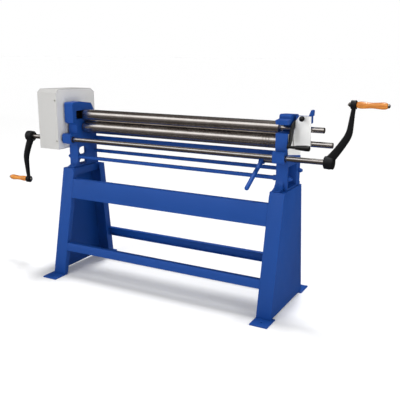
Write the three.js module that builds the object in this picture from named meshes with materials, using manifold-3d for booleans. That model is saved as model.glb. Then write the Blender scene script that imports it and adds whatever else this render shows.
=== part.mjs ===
// Hand-driven plate rolling machine: three rolls between two cast heads on a folded sheet-metal stand.
// Millimetres. X runs along the rolls, Y towards the back, Z up from the floor.
// Both front roll axes lie in the plane Y = 0, and X = 0 is the middle of the working width.

import * as THREE from 'three';
import { mergeVertices } from 'three/addons/utils/BufferGeometryUtils.js';
import Module from 'manifold-3d';

const wasm = await Module();
wasm.setup();

// Fits
const seatGap = 0.3;
const runningGap = 0.4;
const cutOverrun = 5;
const roundSides = 20;
const smallSides = 10;
const rollSides = 24;
const gripSides = 14;

// Rolls
const workingWidth = 1070;
const rollRadius = 29;
const rollGap = 2;
const rollAxisDistance = 2 * rollRadius + rollGap;
const lowerRollZ = 729.5;
const upperRollZ = lowerRollZ + rollAxisDistance;
const rollEndGap = 10;
const journalRadius = 12;
const rollHalf = workingWidth / 2 - rollEndGap;
const wireGrooveCount = 3;
const wireGrooveFromEnd = 41;
const wireGroovePitch = 14;
const wireGrooveWidth = 5;
const wireGrooveDepth = 2.5;
const stubChamfer = 1.5;
const upperStubReach = 131;
const lowerStubReach = 169;

// Heads
const headThickness = 52;
const headInner = workingWidth / 2;
const headOuter = headInner + headThickness;
const headFootZ = 532;

// Bending roll, raised along a guide that leans forward
const bendingRollY = 66;
const bendingRollZ = 722;
const bendingLean = THREE.MathUtils.degToRad(10);
const bendingTravel = 36;

// Gears: one tooth size for the whole train, with the loose mesh that slip rolls run with
const gearModule = 4;
const nipTeeth = 15;
const bullTeeth = 38;
const pinionTeeth = 15;
const toothBacklash = 1.7;
const toothTipClearance = 1;
const driveDistance = gearModule * (pinionTeeth + bullTeeth) / 2;

// Drive shaft and cranks
const driveY = -91;
const driveZ = lowerRollZ - Math.sqrt(driveDistance ** 2 - driveY ** 2);
const driveRadius = 11.5;
const crankHubInner = { left: headOuter + 214, right: headOuter + 164 };
const crankHubLength = 38;
const crankRadius = 233;

// Stand
const legOuter = headOuter + 6.4;
const sheet = 3;
const legTopZ = headFootZ - seatGap;
const footPlateThickness = 6;

const paintBlue = 0x2f56a0;
const paints = {
  bluePaint: { color: paintBlue, roughness: 0.45, metalness: 0.1 },
  greyPaint: { color: 0xd2d1cf, roughness: 0.5, metalness: 0.1 },
  whitePaint: { color: 0xf2f2f0, roughness: 0.5, metalness: 0.1 },
  groundSteel: { color: 0xb4b0ac, roughness: 0.25, metalness: 0.95 },
  turnedSteel: { color: 0xa09c98, roughness: 0.35, metalness: 0.95 },
  darkSteel: { color: 0x4a4a4c, roughness: 0.5, metalness: 0.8 },
  blackPaint: { color: 0x26272a, roughness: 0.55, metalness: 0.2 },
  blackPlastic: { color: 0x161617, roughness: 0.4, metalness: 0 },
  bronze: { color: 0xa9793a, roughness: 0.4, metalness: 0.9 },
  wood: { color: 0xc07a36, roughness: 0.5, metalness: 0 },
};

// A closed geometry as a solid that can be cut and joined
function toSolid(geometry) {
  const bare = geometry.clone();
  bare.deleteAttribute('normal');
  bare.deleteAttribute('uv');
  const welded = mergeVertices(bare, 1e-4);
  return new wasm.Manifold(new wasm.Mesh({
    numProp: 3,
    vertProperties: new Float32Array(welded.attributes.position.array),
    triVerts: new Uint32Array(welded.index.array),
  }));
}

// A cut or joined solid back as a geometry
function toGeometry(solid) {
  const mesh = solid.getMesh();
  const geometry = new THREE.BufferGeometry();
  geometry.setAttribute('position', new THREE.BufferAttribute(new Float32Array(mesh.vertProperties), 3));
  geometry.setIndex(new THREE.BufferAttribute(new Uint32Array(mesh.triVerts), 1));
  geometry.computeVertexNormals();
  return geometry;
}

const machine = new THREE.Group();

// One named piece of the machine
function piece(name, solid, paint) {
  const mesh = new THREE.Mesh(toGeometry(solid), new THREE.MeshStandardMaterial(paints[paint]));
  mesh.name = name;
  machine.add(mesh);
  return mesh;
}

function joined(...solids) {
  return solids.reduce((whole, next) => whole.add(next));
}

function cut(solid, ...tools) {
  return tools.reduce((rest, tool) => rest.subtract(tool), solid);
}

// A block between two corners
function block(x0, x1, y0, y1, z0, z1) {
  const box = new THREE.BoxGeometry(x1 - x0, y1 - y0, z1 - z0);
  box.translate((x0 + x1) / 2, (y0 + y1) / 2, (z0 + z1) / 2);
  return toSolid(box);
}

// A body turned about a line through `centre` along `direction`; the profile lists [place, radius] upwards
function turned(profile, centre, direction, sides = roundSides) {
  const places = profile.map(([place]) => place);
  const outline = [
    new THREE.Vector2(0, Math.min(...places)),
    ...profile.map(([place, radius]) => new THREE.Vector2(radius, place)),
    new THREE.Vector2(0, Math.max(...places)),
  ];
  const lathe = new THREE.LatheGeometry(outline, sides);
  const turn = new THREE.Quaternion().setFromUnitVectors(new THREE.Vector3(0, 1, 0), direction.clone().normalize());
  lathe.applyQuaternion(turn);
  lathe.translate(centre.x, centre.y, centre.z);
  return toSolid(lathe);
}

const alongX = new THREE.Vector3(1, 0, 0);
const alongY = new THREE.Vector3(0, 1, 0);
const alongZ = new THREE.Vector3(0, 0, 1);

// A plain round bar along X
function barX(radius, x0, x1, y, z, sides = roundSides) {
  return turned([[x0, radius], [x1, radius]], new THREE.Vector3(0, y, z), alongX, sides);
}

// A closed outline in the Y-Z plane, given thickness along X
function plateX(points, x0, x1, holes = []) {
  const shape = new THREE.Shape(points.map(([y, z]) => new THREE.Vector2(y, z)));
  shape.holes = holes.map((hole) => new THREE.Path(hole.map(([y, z]) => new THREE.Vector2(y, z))));
  const plate = new THREE.ExtrudeGeometry(shape, { depth: x1 - x0, bevelEnabled: false });
  const axes = new THREE.Matrix4().makeBasis(alongY, alongZ, alongX);
  plate.applyMatrix4(axes);
  plate.translate(x0, 0, 0);
  return toSolid(plate);
}

// A closed outline in the X-Z plane, given thickness along Y
function plateY(points, y0, y1) {
  const shape = new THREE.Shape(points.map(([x, z]) => new THREE.Vector2(x, z)));
  const plate = new THREE.ExtrudeGeometry(shape, { depth: y1 - y0, bevelEnabled: false });
  const axes = new THREE.Matrix4().makeBasis(alongX, alongZ, alongY.clone().negate());
  plate.applyMatrix4(axes);
  plate.translate(0, y1, 0);
  return toSolid(plate);
}

// The two ends of the machine: -1 is the left end, 1 the right end
const ends = [['left', -1], ['right', 1]];

// An interval along X, mirrored to the end that it belongs to
function towards(side, near, far) {
  return side > 0 ? [near, far] : [-far, -near];
}

// Stand: two tapered channels of folded sheet, open towards each other, on four foot plates
const legFoot = footPlateThickness + seatGap;
const legFrontTopY = -109.3;
const legFrontFootY = -221.9;
const legRearTopY = 102.3;
const legRearFootY = 158;
const frontFlangeWidth = 67.4;
const rearFlangeWidth = 93.7;
const frontReturnLip = 27;
const rearReturnLip = 40;
const headLip = 36;
const cornerCut = 14;
const frontFlangeInner = legOuter - frontFlangeWidth;
const rearFlangeInner = legOuter - rearFlangeWidth;

// Where the sloping front and rear faces of the legs are at a height
function legFrontY(z) {
  return THREE.MathUtils.mapLinear(z, legFoot, legTopZ, legFrontFootY, legFrontTopY);
}

function legRearY(z) {
  return THREE.MathUtils.mapLinear(z, legFoot, legTopZ, legRearFootY, legRearTopY);
}

// A strip of the leg's sloping front or rear face, `depth` thick towards the inside of the leg
function slopingStrip(faceY, depth, x0, x1) {
  return plateX(windingFor(depth, [
    [faceY(legFoot), legFoot],
    [faceY(legFoot) + depth, legFoot],
    [faceY(legTopZ) + depth, legTopZ],
    [faceY(legTopZ), legTopZ],
  ]), x0, x1);
}

// Outlines run anticlockwise, also where the depth points forwards
function windingFor(depth, points) {
  return depth > 0 ? points : points.reverse();
}

function leg(side) {
  const [webIn, webOut] = towards(side, legOuter - sheet, legOuter);
  const [frontIn, frontOut] = towards(side, frontFlangeInner, legOuter);
  const [rearIn, rearOut] = towards(side, rearFlangeInner, legOuter);
  const [frontLipIn, frontLipOut] = towards(side, frontFlangeInner, frontFlangeInner + sheet);
  const [rearLipIn, rearLipOut] = towards(side, rearFlangeInner, rearFlangeInner + sheet);
  const web = plateX([
    [legFrontFootY, legFoot],
    [legRearFootY, legFoot],
    [legRearTopY, legTopZ],
    [legFrontTopY, legTopZ],
  ], webIn, webOut);
  const top = block(frontIn, frontOut, legFrontTopY, legRearTopY, legTopZ - sheet, legTopZ);
  const lip = block(frontLipIn, frontLipOut, legFrontTopY + sheet, legRearTopY, legTopZ - headLip, legTopZ);
  const innerCorner = side * frontFlangeInner;
  const corner = plateY(windingFor(side, [
    [innerCorner - side * cutOverrun, legTopZ + cutOverrun],
    [innerCorner - side * cutOverrun, legTopZ - cornerCut - cutOverrun],
    [innerCorner, legTopZ - cornerCut],
    [innerCorner + side * cornerCut, legTopZ],
    [innerCorner + side * cornerCut, legTopZ + cutOverrun],
  ]), legFrontTopY - cornerCut, legFrontTopY + sheet / 2);
  const channel = joined(
    web,
    slopingStrip(legFrontY, sheet, frontIn, frontOut),
    slopingStrip(legFrontY, frontReturnLip, frontLipIn, frontLipOut),
    slopingStrip(legRearY, -sheet, rearIn, rearOut),
    slopingStrip(legRearY, -rearReturnLip, rearLipIn, rearLipOut),
    top,
    lip,
  );
  return cut(channel, corner, ...headBoltPlaces(side).map(([x, y]) => boltHole(x, y)));
}

// Head bolts come up from under the leg's top plate
const headBoltRadius = 5;
const headBoltHeadRadius = 8.5;
const headBoltHeadHeight = 6;
const headBoltReach = 10;
const headBoltFrontY = -80;
const headBoltRearY = 70;

function headBoltPlaces(side) {
  const x = side * (headInner + headThickness / 2);
  return [[x, headBoltFrontY], [x, headBoltRearY]];
}

function boltHole(x, y) {
  const radius = headBoltRadius + seatGap;
  return turned([
    [legTopZ - sheet - cutOverrun, radius],
    [headFootZ + headBoltReach, radius],
  ], new THREE.Vector3(x, y, 0), alongZ, smallSides);
}

function headBolt(x, y) {
  const seat = legTopZ - sheet - seatGap;
  const centre = new THREE.Vector3(x, y, 0);
  const head = turned([[seat - headBoltHeadHeight, headBoltHeadRadius], [seat, headBoltHeadRadius]], centre, alongZ, 6);
  const shankTop = headFootZ + headBoltReach - seatGap;
  const shank = turned([[seat - headBoltHeadHeight / 2, headBoltRadius], [shankTop, headBoltRadius]], centre, alongZ, smallSides);
  return joined(head, shank);
}

for (const [name, side] of ends) {
  piece(`${name}_leg`, leg(side), 'bluePaint');
  const [front, rear] = headBoltPlaces(side);
  piece(`${name}_head_bolt_front`, headBolt(...front), 'darkSteel');
  piece(`${name}_head_bolt_rear`, headBolt(...rear), 'darkSteel');
}

// Foot plates under the legs' corners, with one anchor hole each
const footPlateWidth = 80;
const footPlateLength = 92;
const footPlateOutside = 12;
const frontFootReach = 70;
const rearFootReach = 65;
const anchorRadius = 5.5;

function footPlate(side, frontEdgeY, anchorY) {
  const outer = legOuter + footPlateOutside;
  const [x0, x1] = towards(side, outer - footPlateWidth, outer);
  const plate = block(x0, x1, frontEdgeY, frontEdgeY + footPlateLength, 0, footPlateThickness);
  const anchor = turned([
    [-cutOverrun, anchorRadius],
    [footPlateThickness + cutOverrun, anchorRadius],
  ], new THREE.Vector3((x0 + x1) / 2, anchorY, 0), alongZ, smallSides);
  return cut(plate, anchor);
}

for (const [name, side] of ends) {
  const frontEdge = legFrontFootY - frontFootReach;
  const rearEdge = legRearFootY + rearFootReach;
  const frontAnchor = legFrontFootY - frontFootReach / 2;
  const rearAnchor = legRearFootY + rearFootReach / 2;
  piece(`front_${name}_foot_plate`, footPlate(side, frontEdge, frontAnchor), 'bluePaint');
  piece(`rear_${name}_foot_plate`, footPlate(side, rearEdge - footPlateLength, rearAnchor), 'bluePaint');
}

// Cross members: folded channels that lie in the planes of the legs' front and rear faces
const upperBeamZ = [387.4, 480.7];
const lowerBarZ = [125.7, 164.4];
const rearBarZ = [124.7, 170.3];
const upperBeamDepth = 28;
const barDepth = 22;

function crossChannel(faceY, depth, [z0, z1], half) {
  const wall = Math.sign(depth) * sheet;
  return plateX(windingFor(depth, [
    [faceY(z0), z0],
    [faceY(z0) + depth, z0],
    [faceY(z0) + depth, z0 + sheet],
    [faceY(z0 + sheet) + wall, z0 + sheet],
    [faceY(z1 - sheet) + wall, z1 - sheet],
    [faceY(z1) + depth, z1 - sheet],
    [faceY(z1) + depth, z1],
    [faceY(z1), z1],
  ]), -half, half);
}

piece('front_upper_beam', crossChannel(legFrontY, upperBeamDepth, upperBeamZ, frontFlangeInner - seatGap), 'bluePaint');
piece('front_lower_bar', crossChannel(legFrontY, barDepth, lowerBarZ, frontFlangeInner - seatGap), 'bluePaint');
piece('rear_bar', crossChannel(legRearY, -barDepth, rearBarZ, rearFlangeInner - seatGap), 'bluePaint');

// Heads: castings with a shaft boss in front, a neck at the rolls and a block over the upper roll
const headFlare = [[-63, 43], [-70, 26], [-84, 13], [-103, 6], [-103, 0]];
const headFlareWidth = 36;
const headRearFoot = 98;
const headFootHeight = 13;
const headRearY = 92;
const columnFrontY = -63;
const bossFrontY = -114;
const bossBelow = 21;
const bossAbove = 29;
const bossCorner = 8;
const leftTop = [[81, 811], [57.5, 847], [-23, 858.5]];
const rightTop = [[81, 811], [43, 847], [-23, 852]];
const rearEdgeTopZ = 790;
const leftNeckY = -61;
const leftBlock = [[-81, 857], [-87, 851], [-87, 758], [leftNeckY, 745]];
const rightNeckY = -80;
const rightBlock = [[-40, 851], [-45, 845], [-45, 834], [-90, 831], [rightNeckY, 812]];
const rightSlotAbove = 23;
const leftPocketFrontY = -60;
const leftPocketBelow = 16.5;
const leftPocketAbove = 25;
const slidingBlockHalf = 17;
const bushWall = 4;
const bushFlange = 4;
const bushFlangeThickness = 1.6;
const bushInset = 2;
const lowerBushRadius = journalRadius + bushWall;
const driveBushRadius = driveRadius + bushWall;
const headWeb = 10;
const headPocketY = [-55, 48];
const headPocketZ = [headFootZ + 9, headFootZ + 102];
const rodBossRadius = 13;
const windowWidth = 58;
const windowY = -23;
const windowsZ = [[headFootZ + 9, headFootZ + 39], [headFootZ + 62, headFootZ + 100]];
const frontRodY = -50;
const frontRodZ = headFootZ + 50.5;
const rearRodY = 78;
const rearRodZ = headFootZ + 66;
const rodSpigotRadius = 6;
const crossShaftY = -33;
const crossShaftZ = 650;
const crossShaftRadius = 10;
const crossShaftSocket = 32;

// Guide of the bending roll's blocks and the screw under each block
const guideUp = new THREE.Vector3(0, -Math.sin(bendingLean), Math.cos(bendingLean));
const bendingBlockHalf = 16;
const screwRadius = 6;
const wheelRadius = 15;
const wheelHeight = 11;
const wheelDepth = 98;
const wheelPocketRoom = 3;

// A point on the guide, `along` up from the bending roll's rest place
function onGuide(x, along) {
  return new THREE.Vector3(x, bendingRollY, bendingRollZ).addScaledVector(guideUp, along);
}

// A block whose long side lies along the guide
function guideBlock(x0, x1, halfWidth, from, to) {
  const box = new THREE.BoxGeometry(x1 - x0, 2 * halfWidth, to - from);
  box.translate((x0 + x1) / 2, 0, (from + to) / 2);
  box.rotateX(bendingLean);
  box.translate(0, bendingRollY, bendingRollZ);
  return toSolid(box);
}

function headOutline(neckY, top, upperBlock) {
  const bossTop = driveZ + bossAbove;
  const bossFoot = driveZ - bossBelow;
  return [
    [headRearFoot, headFootZ],
    [headRearFoot, headFootZ + headFootHeight],
    [headRearY, headFootZ + headFootHeight],
    [headRearY, rearEdgeTopZ],
    ...top,
    ...upperBlock,
    [neckY, bossTop],
    [bossFrontY + bossCorner, bossTop],
    [bossFrontY, bossTop - bossCorner],
    [bossFrontY, bossFoot + bossCorner],
    [bossFrontY + bossCorner, bossFoot],
    [columnFrontY, bossFoot],
    [columnFrontY, headFootZ],
  ];
}

// The pocket of the left head and the slot of the right head both open towards the front for the upper roll
function upperRollPocket(side, x0, x1) {
  if (side < 0) {
    return block(x0, x1, leftPocketFrontY, slidingBlockHalf + seatGap,
      upperRollZ - leftPocketBelow - seatGap, upperRollZ + leftPocketAbove + seatGap);
  }
  return block(x0, x1, rightNeckY - cutOverrun, journalRadius + runningGap,
    upperRollZ - journalRadius - runningGap, upperRollZ + rightSlotAbove);
}

function head(side) {
  const [x0, x1] = towards(side, headInner, headOuter);
  const [c0, c1] = [x0 - cutOverrun, x1 + cutOverrun];
  const middle = (x0 + x1) / 2;
  const outline = side < 0 ? headOutline(leftNeckY, leftTop, leftBlock) : headOutline(rightNeckY, rightTop, rightBlock);
  const guideRoom = bendingBlockHalf + seatGap;
  const wheelRoom = wheelRadius + wheelPocketRoom;
  const [socket0, socket1] = [headInner - cutOverrun, headInner + crossShaftSocket];
  const tools = [
    barX(driveBushRadius + seatGap, c0, c1, driveY, driveZ),
    barX(lowerBushRadius + seatGap, c0, c1, 0, lowerRollZ),
    upperRollPocket(side, c0, c1),
    guideBlock(c0, c1, guideRoom, -guideRoom, bendingTravel + guideRoom),
    turned([[-wheelDepth, screwRadius + runningGap], [0, screwRadius + runningGap]],
      onGuide(middle, 0), guideUp, smallSides),
    guideBlock(middle - wheelRoom, middle + wheelRoom, wheelRoom,
      -wheelDepth - wheelHeight, -wheelDepth + wheelHeight + bendingTravel),
    barX(rodSpigotRadius + seatGap, c0, c1, frontRodY, frontRodZ),
    barX(rodSpigotRadius + seatGap, c0, c1, rearRodY, rearRodZ),
    ...windowsZ.map(([z0, z1]) => windowCut(z0, z1, c0, c1)),
    outerPocket(side),
    ...headBoltPlaces(side).map(([x, y]) => boltHole(x, y)),
  ];
  if (side > 0) {
    tools.push(barX(crossShaftRadius + runningGap, socket0, socket1, crossShaftY, crossShaftZ));
  }
  const flare = plateX([
    ...headFlare.map(([y, rise]) => [y, headFootZ + rise]),
    [columnFrontY + cutOverrun, headFootZ],
    [columnFrontY + cutOverrun, headFootZ + headFlare[0][1]],
  ], ...towards(side, headInner, headInner + headFlareWidth));
  return cut(joined(plateX(outline, x0, x1), flare), ...tools);
}

// The outer side is hollow down to a thin web, except for the boss round the front tie rod
function outerPocket(side) {
  const [x0, x1] = towards(side, headInner + headWeb, headOuter + cutOverrun);
  return cut(
    block(x0, x1, ...headPocketY, ...headPocketZ),
    barX(rodBossRadius, x0 - cutOverrun, x1 + cutOverrun, frontRodY, frontRodZ),
  );
}

// A window is wider than it is tall, so its round ends are joined by a straight middle
function windowCut(z0, z1, x0, x1) {
  const half = (z1 - z0) / 2;
  const reach = windowWidth / 2 - half;
  return joined(
    block(x0, x1, windowY - reach, windowY + reach, z0, z1),
    barX(half, x0, x1, windowY - reach, z0 + half, smallSides),
    barX(half, x0, x1, windowY + reach, z0 + half, smallSides),
  );
}

for (const [name, side] of ends) {
  piece(`${name}_head`, head(side), 'bluePaint');
}

// Bronze bushes: the lower roll's have a flange on the inner face of each head, the drive shaft's are plain
function flangedBush(side, boreRadius, outerRadius, y, z) {
  const [x0, x1] = towards(side, headInner + seatGap, headOuter);
  const [f0, f1] = towards(side, headInner - seatGap - bushFlangeThickness, headInner - seatGap);
  const bore = barX(boreRadius, x0 - headThickness, x1 + headThickness, y, z);
  const sleeve = barX(outerRadius, Math.min(x0, f0), Math.max(x1, f1), y, z);
  const flange = barX(outerRadius + bushFlange, f0, f1, y, z);
  return cut(joined(sleeve, flange), bore);
}

function plainBush(side, boreRadius, outerRadius, y, z) {
  const [x0, x1] = towards(side, headInner + bushInset, headOuter - bushInset);
  return cut(barX(outerRadius, x0, x1, y, z), barX(boreRadius, x0 - cutOverrun, x1 + cutOverrun, y, z));
}

for (const [name, side] of ends) {
  piece(`${name}_lower_roll_bush`,
    flangedBush(side, journalRadius + runningGap, lowerBushRadius, 0, lowerRollZ), 'bronze');
  piece(`${name}_drive_shaft_bush`,
    plainBush(side, driveRadius + runningGap, driveBushRadius, driveY, driveZ), 'bronze');
}

// Tie rods: each has a shoulder on the heads' inner faces and a threaded end under a cap nut
const tieRodRadius = 9;
const capNutRadius = 11;
const capNutLength = 12;
const capNutDome = 5;
const capNutFlange = 1.5;
const rodCollarRadius = 12;
const rodCollarLength = 16;

function tieRod(y, z, collared) {
  const shoulder = headInner - seatGap;
  const end = headOuter + capNutLength / 2;
  const profile = [[-end, rodSpigotRadius], [-shoulder, rodSpigotRadius], [-shoulder, tieRodRadius]];
  if (collared) {
    profile.push([shoulder - rodCollarLength, tieRodRadius], [shoulder - rodCollarLength, rodCollarRadius]);
    profile.push([shoulder, rodCollarRadius]);
  } else {
    profile.push([shoulder, tieRodRadius]);
  }
  profile.push([shoulder, rodSpigotRadius], [end, rodSpigotRadius]);
  return turned(profile, new THREE.Vector3(0, y, z), alongX);
}

function capNut(side, y, z) {
  const foot = side * (headOuter + seatGap);
  const centre = new THREE.Vector3(foot, y, z);
  const outward = alongX.clone().multiplyScalar(side);
  const body = turned([
    [0, capNutRadius + capNutFlange],
    [capNutFlange, capNutRadius + capNutFlange],
    [capNutFlange, capNutRadius],
    [capNutLength, capNutRadius],
    [capNutLength + capNutDome, capNutRadius / 2],
  ], centre, outward);
  const thread = turned([[-cutOverrun, rodSpigotRadius + seatGap], [capNutLength / 2, rodSpigotRadius + seatGap]],
    centre, outward);
  return cut(body, thread);
}

piece('front_tie_rod', tieRod(frontRodY, frontRodZ, true), 'bluePaint');
piece('rear_tie_rod', tieRod(rearRodY, rearRodZ, false), 'bluePaint');
for (const [name, side] of ends) {
  piece(`front_rod_${name}_cap_nut`, capNut(side, frontRodY, frontRodZ), 'bluePaint');
  piece(`rear_rod_${name}_cap_nut`, capNut(side, rearRodY, rearRodZ), 'bluePaint');
}

// Rear tie beam: a flat bar on edge between the heads
const tieBeamRearY = 90;
const tieBeamThickness = 10;
const tieBeamZ = [628, 674];
const tieBeamHalf = headInner - seatGap;
piece('rear_tie_beam',
  block(-tieBeamHalf, tieBeamHalf, tieBeamRearY - tieBeamThickness, tieBeamRearY, ...tieBeamZ), 'bluePaint');

// Spur gears: straight-sided teeth, thinned by the backlash, with the tooth at `phase` on the axis Y-Z line
const toothHeightShare = 1;
const tipNarrowShare = 0.36;
const rootWidenShare = 0.7;

function gear(teeth, faceX0, faceX1, y, z, boreRadius, phase, hub) {
  const pitchRadius = gearModule * teeth / 2;
  const tipRadius = pitchRadius + gearModule * toothHeightShare - toothTipClearance;
  const rootRadius = pitchRadius - gearModule * toothHeightShare - toothTipClearance;
  const halfTooth = (Math.PI * gearModule / 2 - toothBacklash / 2) / 2;
  const slope = Math.tan(THREE.MathUtils.degToRad(20));
  const corners = [
    [rootRadius, halfTooth + slope * (pitchRadius - rootRadius) * rootWidenShare],
    [tipRadius, halfTooth - slope * (tipRadius - pitchRadius) / (1 - tipNarrowShare)],
  ];
  const outline = [];
  for (let tooth = 0; tooth < teeth; tooth += 1) {
    const middle = phase + tooth * 2 * Math.PI / teeth;
    const [[low, lowHalf], [high, highHalf]] = corners;
    for (const [radius, half] of [[low, -lowHalf], [high, -highHalf], [high, highHalf], [low, lowHalf]]) {
      const angle = middle + half / radius;
      outline.push([y + radius * Math.cos(angle), z + radius * Math.sin(angle)]);
    }
  }
  const wheel = plateX(outline, faceX0, faceX1);
  const bore = barX(boreRadius, faceX0 - cutOverrun - hub, faceX1 + cutOverrun, y, z);
  const hubBar = barX(boreRadius + 2 * bushWall, faceX0 - hub, faceX1, y, z);
  return cut(hub > 0 ? joined(wheel, hubBar) : wheel, bore);
}

// Gears at the left end: the nip pair stands next to the head, the large gear and pinion beyond it
const nipGearFace = 12;
const bullGearFace = 20;
const nipGearX1 = -headOuter - 15;
const bullGearX1 = -headOuter - 45;
const gearHubLength = 8;
const journalPastGear = 6;
const gearBoreGap = seatGap;
const nipGearX0 = nipGearX1 - nipGearFace;
const bullGearX0 = bullGearX1 - bullGearFace;
const swingX = (nipGearX0 + nipGearX1) / 2;
const lowerJournalLeft = bullGearX0 - gearHubLength - journalPastGear;
const upperJournalLeft = nipGearX0 - journalPastGear + stubChamfer;

// A roll with turned-down journals, and wire grooves at its right end where it has them
function roll(y, z, leftEnd, rightEnd, grooved) {
  const profile = [
    [leftEnd, journalRadius - stubChamfer],
    [leftEnd + stubChamfer, journalRadius],
    [-rollHalf, journalRadius],
    [-rollHalf, rollRadius],
  ];
  for (let groove = wireGrooveCount - 1; grooved && groove >= 0; groove -= 1) {
    const middle = rollHalf - wireGrooveFromEnd - groove * wireGroovePitch;
    profile.push([middle - wireGrooveWidth / 2, rollRadius]);
    profile.push([middle, rollRadius - wireGrooveDepth]);
    profile.push([middle + wireGrooveWidth / 2, rollRadius]);
  }
  profile.push([rollHalf, rollRadius], [rollHalf, journalRadius]);
  profile.push([rightEnd - stubChamfer, journalRadius], [rightEnd, journalRadius - stubChamfer]);
  return turned(profile, new THREE.Vector3(0, y, z), alongX, rollSides);
}

piece('lower_roll', roll(0, lowerRollZ, lowerJournalLeft, headOuter + lowerStubReach, true), 'groundSteel');
piece('upper_roll', roll(0, upperRollZ, upperJournalLeft, headOuter + upperStubReach, false), 'groundSteel');
const bendingEnd = headOuter - seatGap;
piece('bending_roll', roll(bendingRollY, bendingRollZ, -bendingEnd, bendingEnd, true), 'groundSteel');

// Teeth are placed so that a tooth of the followed gear meets a gap of the other gear
const straightUp = Math.PI / 2;
const towardsPinion = Math.atan2(driveZ - lowerRollZ, driveY);
const journalBore = journalRadius + gearBoreGap;
piece('lower_nip_gear',
  gear(nipTeeth, nipGearX0, nipGearX1, 0, lowerRollZ, journalBore, straightUp, 0), 'darkSteel');
piece('upper_nip_gear',
  gear(nipTeeth, nipGearX0, nipGearX1, 0, upperRollZ, journalBore, -straightUp + Math.PI / nipTeeth, 0), 'darkSteel');
piece('lower_roll_drive_gear',
  gear(bullTeeth, bullGearX0, bullGearX1, 0, lowerRollZ, journalBore, towardsPinion, gearHubLength), 'darkSteel');
piece('drive_pinion',
  gear(pinionTeeth, bullGearX0, bullGearX1, driveY, driveZ, driveRadius + gearBoreGap,
    towardsPinion + Math.PI + Math.PI / pinionTeeth, gearHubLength), 'darkSteel');

// Sliding bearing block of the upper roll in the left head's pocket, with room to swing
const slidingBlockInset = 2;
const slidingBlockX = [-headOuter + slidingBlockInset, -headInner - slidingBlockInset];
piece('upper_roll_sliding_block', cut(
  block(...slidingBlockX, -slidingBlockHalf, slidingBlockHalf,
    upperRollZ - leftPocketBelow, upperRollZ + leftPocketAbove),
  barX(journalRadius + runningGap, slidingBlockX[0] - cutOverrun, slidingBlockX[1] + cutOverrun, 0, upperRollZ),
), 'darkSteel');

// Bending roll bearing blocks and the adjusting screws that push them up
const adjustingScrewTop = -bendingBlockHalf - seatGap;

function adjustingScrew(middle) {
  const wheelTop = -wheelDepth + wheelHeight / 2;
  const wheelFoot = -wheelDepth - wheelHeight / 2;
  const edge = stubChamfer;
  return turned([
    [wheelFoot, wheelRadius - edge],
    [wheelFoot + edge, wheelRadius],
    [wheelTop - edge, wheelRadius],
    [wheelTop, wheelRadius - edge],
    [wheelTop, screwRadius],
    [adjustingScrewTop, screwRadius],
  ], onGuide(middle, 0), guideUp, gripSides);
}

for (const [name, side] of ends) {
  const [x0, x1] = towards(side, headInner + seatGap, headOuter - seatGap);
  const bore = barX(journalRadius + runningGap, x0 - cutOverrun, x1 + cutOverrun, bendingRollY, bendingRollZ);
  const bearing = guideBlock(x0, x1, bendingBlockHalf, -bendingBlockHalf, bendingBlockHalf);
  piece(`${name}_bending_block`, cut(bearing, bore), 'darkSteel');
  piece(`${name}_adjusting_screw`, adjustingScrew((x0 + x1) / 2), 'darkSteel');
}

// Drive shaft through both heads, with a crank on each end
const driveShaftLeft = -crankHubInner.left - crankHubLength + stubChamfer;
const driveShaftRight = crankHubInner.right + crankHubLength - stubChamfer;
piece('drive_shaft', turned([
  [driveShaftLeft, driveRadius - stubChamfer],
  [driveShaftLeft + stubChamfer, driveRadius],
  [driveShaftRight - stubChamfer, driveRadius],
  [driveShaftRight, driveRadius - stubChamfer],
], new THREE.Vector3(0, driveY, driveZ), alongX), 'turnedSteel');

// Crank arm: a hub, an arm that leans outwards to an elbow and then runs on to the eye. The left casting,
// whose hub stands further out to clear the gear cover, leans less
const crankHubRadius = 26;
const crankArmLines = {
  left: [[19, 0], [38, 50], [60, 104], [60, 138], [54, crankRadius]],
  right: [[19, 0], [50, 50], [86, 104], [95, 138], [104, crankRadius]],
};
const crankArmWidths = [36, 33, 28, 23, 15];
const crankArmThickness = 24;
const crankEyeRadius = 17;
const crankEyeLength = 21;
const crankEyeAt = { left: crankArmLines.left.at(-1)[0], right: crankArmLines.right.at(-1)[0] };

// An outline that follows a line of points with a width at each
function ribbon(points, widths) {
  const left = [];
  const right = [];
  points.forEach(([x, z], index) => {
    const before = points[Math.max(index - 1, 0)];
    const after = points[Math.min(index + 1, points.length - 1)];
    const run = new THREE.Vector2(after[0] - before[0], after[1] - before[1]).normalize();
    const half = widths[index] / 2;
    left.push([x - run.y * half, z + run.x * half]);
    right.unshift([x + run.y * half, z - run.x * half]);
  });
  return [...right.reverse(), ...left.reverse()];
}

function crankArm(name) {
  const hub = turned([
    [0, crankHubRadius - stubChamfer],
    [stubChamfer, crankHubRadius],
    [crankHubLength - stubChamfer, crankHubRadius],
    [crankHubLength, crankHubRadius - stubChamfer],
  ], new THREE.Vector3(0, 0, 0), alongX);
  const arm = plateY(ribbon(crankArmLines[name], crankArmWidths), -crankArmThickness / 2, crankArmThickness / 2);
  const eyeFrom = crankEyeAt[name] - crankEyeLength / 2;
  const eye = barX(crankEyeRadius, eyeFrom, eyeFrom + crankEyeLength, 0, crankRadius);
  const shaftBore = barX(driveRadius + seatGap, -cutOverrun, crankHubLength + cutOverrun, 0, 0);
  const boltBore = barX(gripBoltRadius + seatGap, 0, 2 * crankEyeAt[name], 0, crankRadius, smallSides);
  return cut(joined(hub, arm, eye), shaftBore, boltBore);
}

// Grip bolt: nut behind the eye, long shank through the wooden grip, turned steel head at the outer end
const gripBoltRadius = 5;
const gripNutRadius = 9;
const gripNutLength = 8;
const gripBoltTail = 4;
const gripLength = 115.5;
const gripGap = 1;
const gripHeadLength = 8;
const gripHeadRadius = 8;
const gripStart = crankEyeLength / 2 + gripGap;

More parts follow.
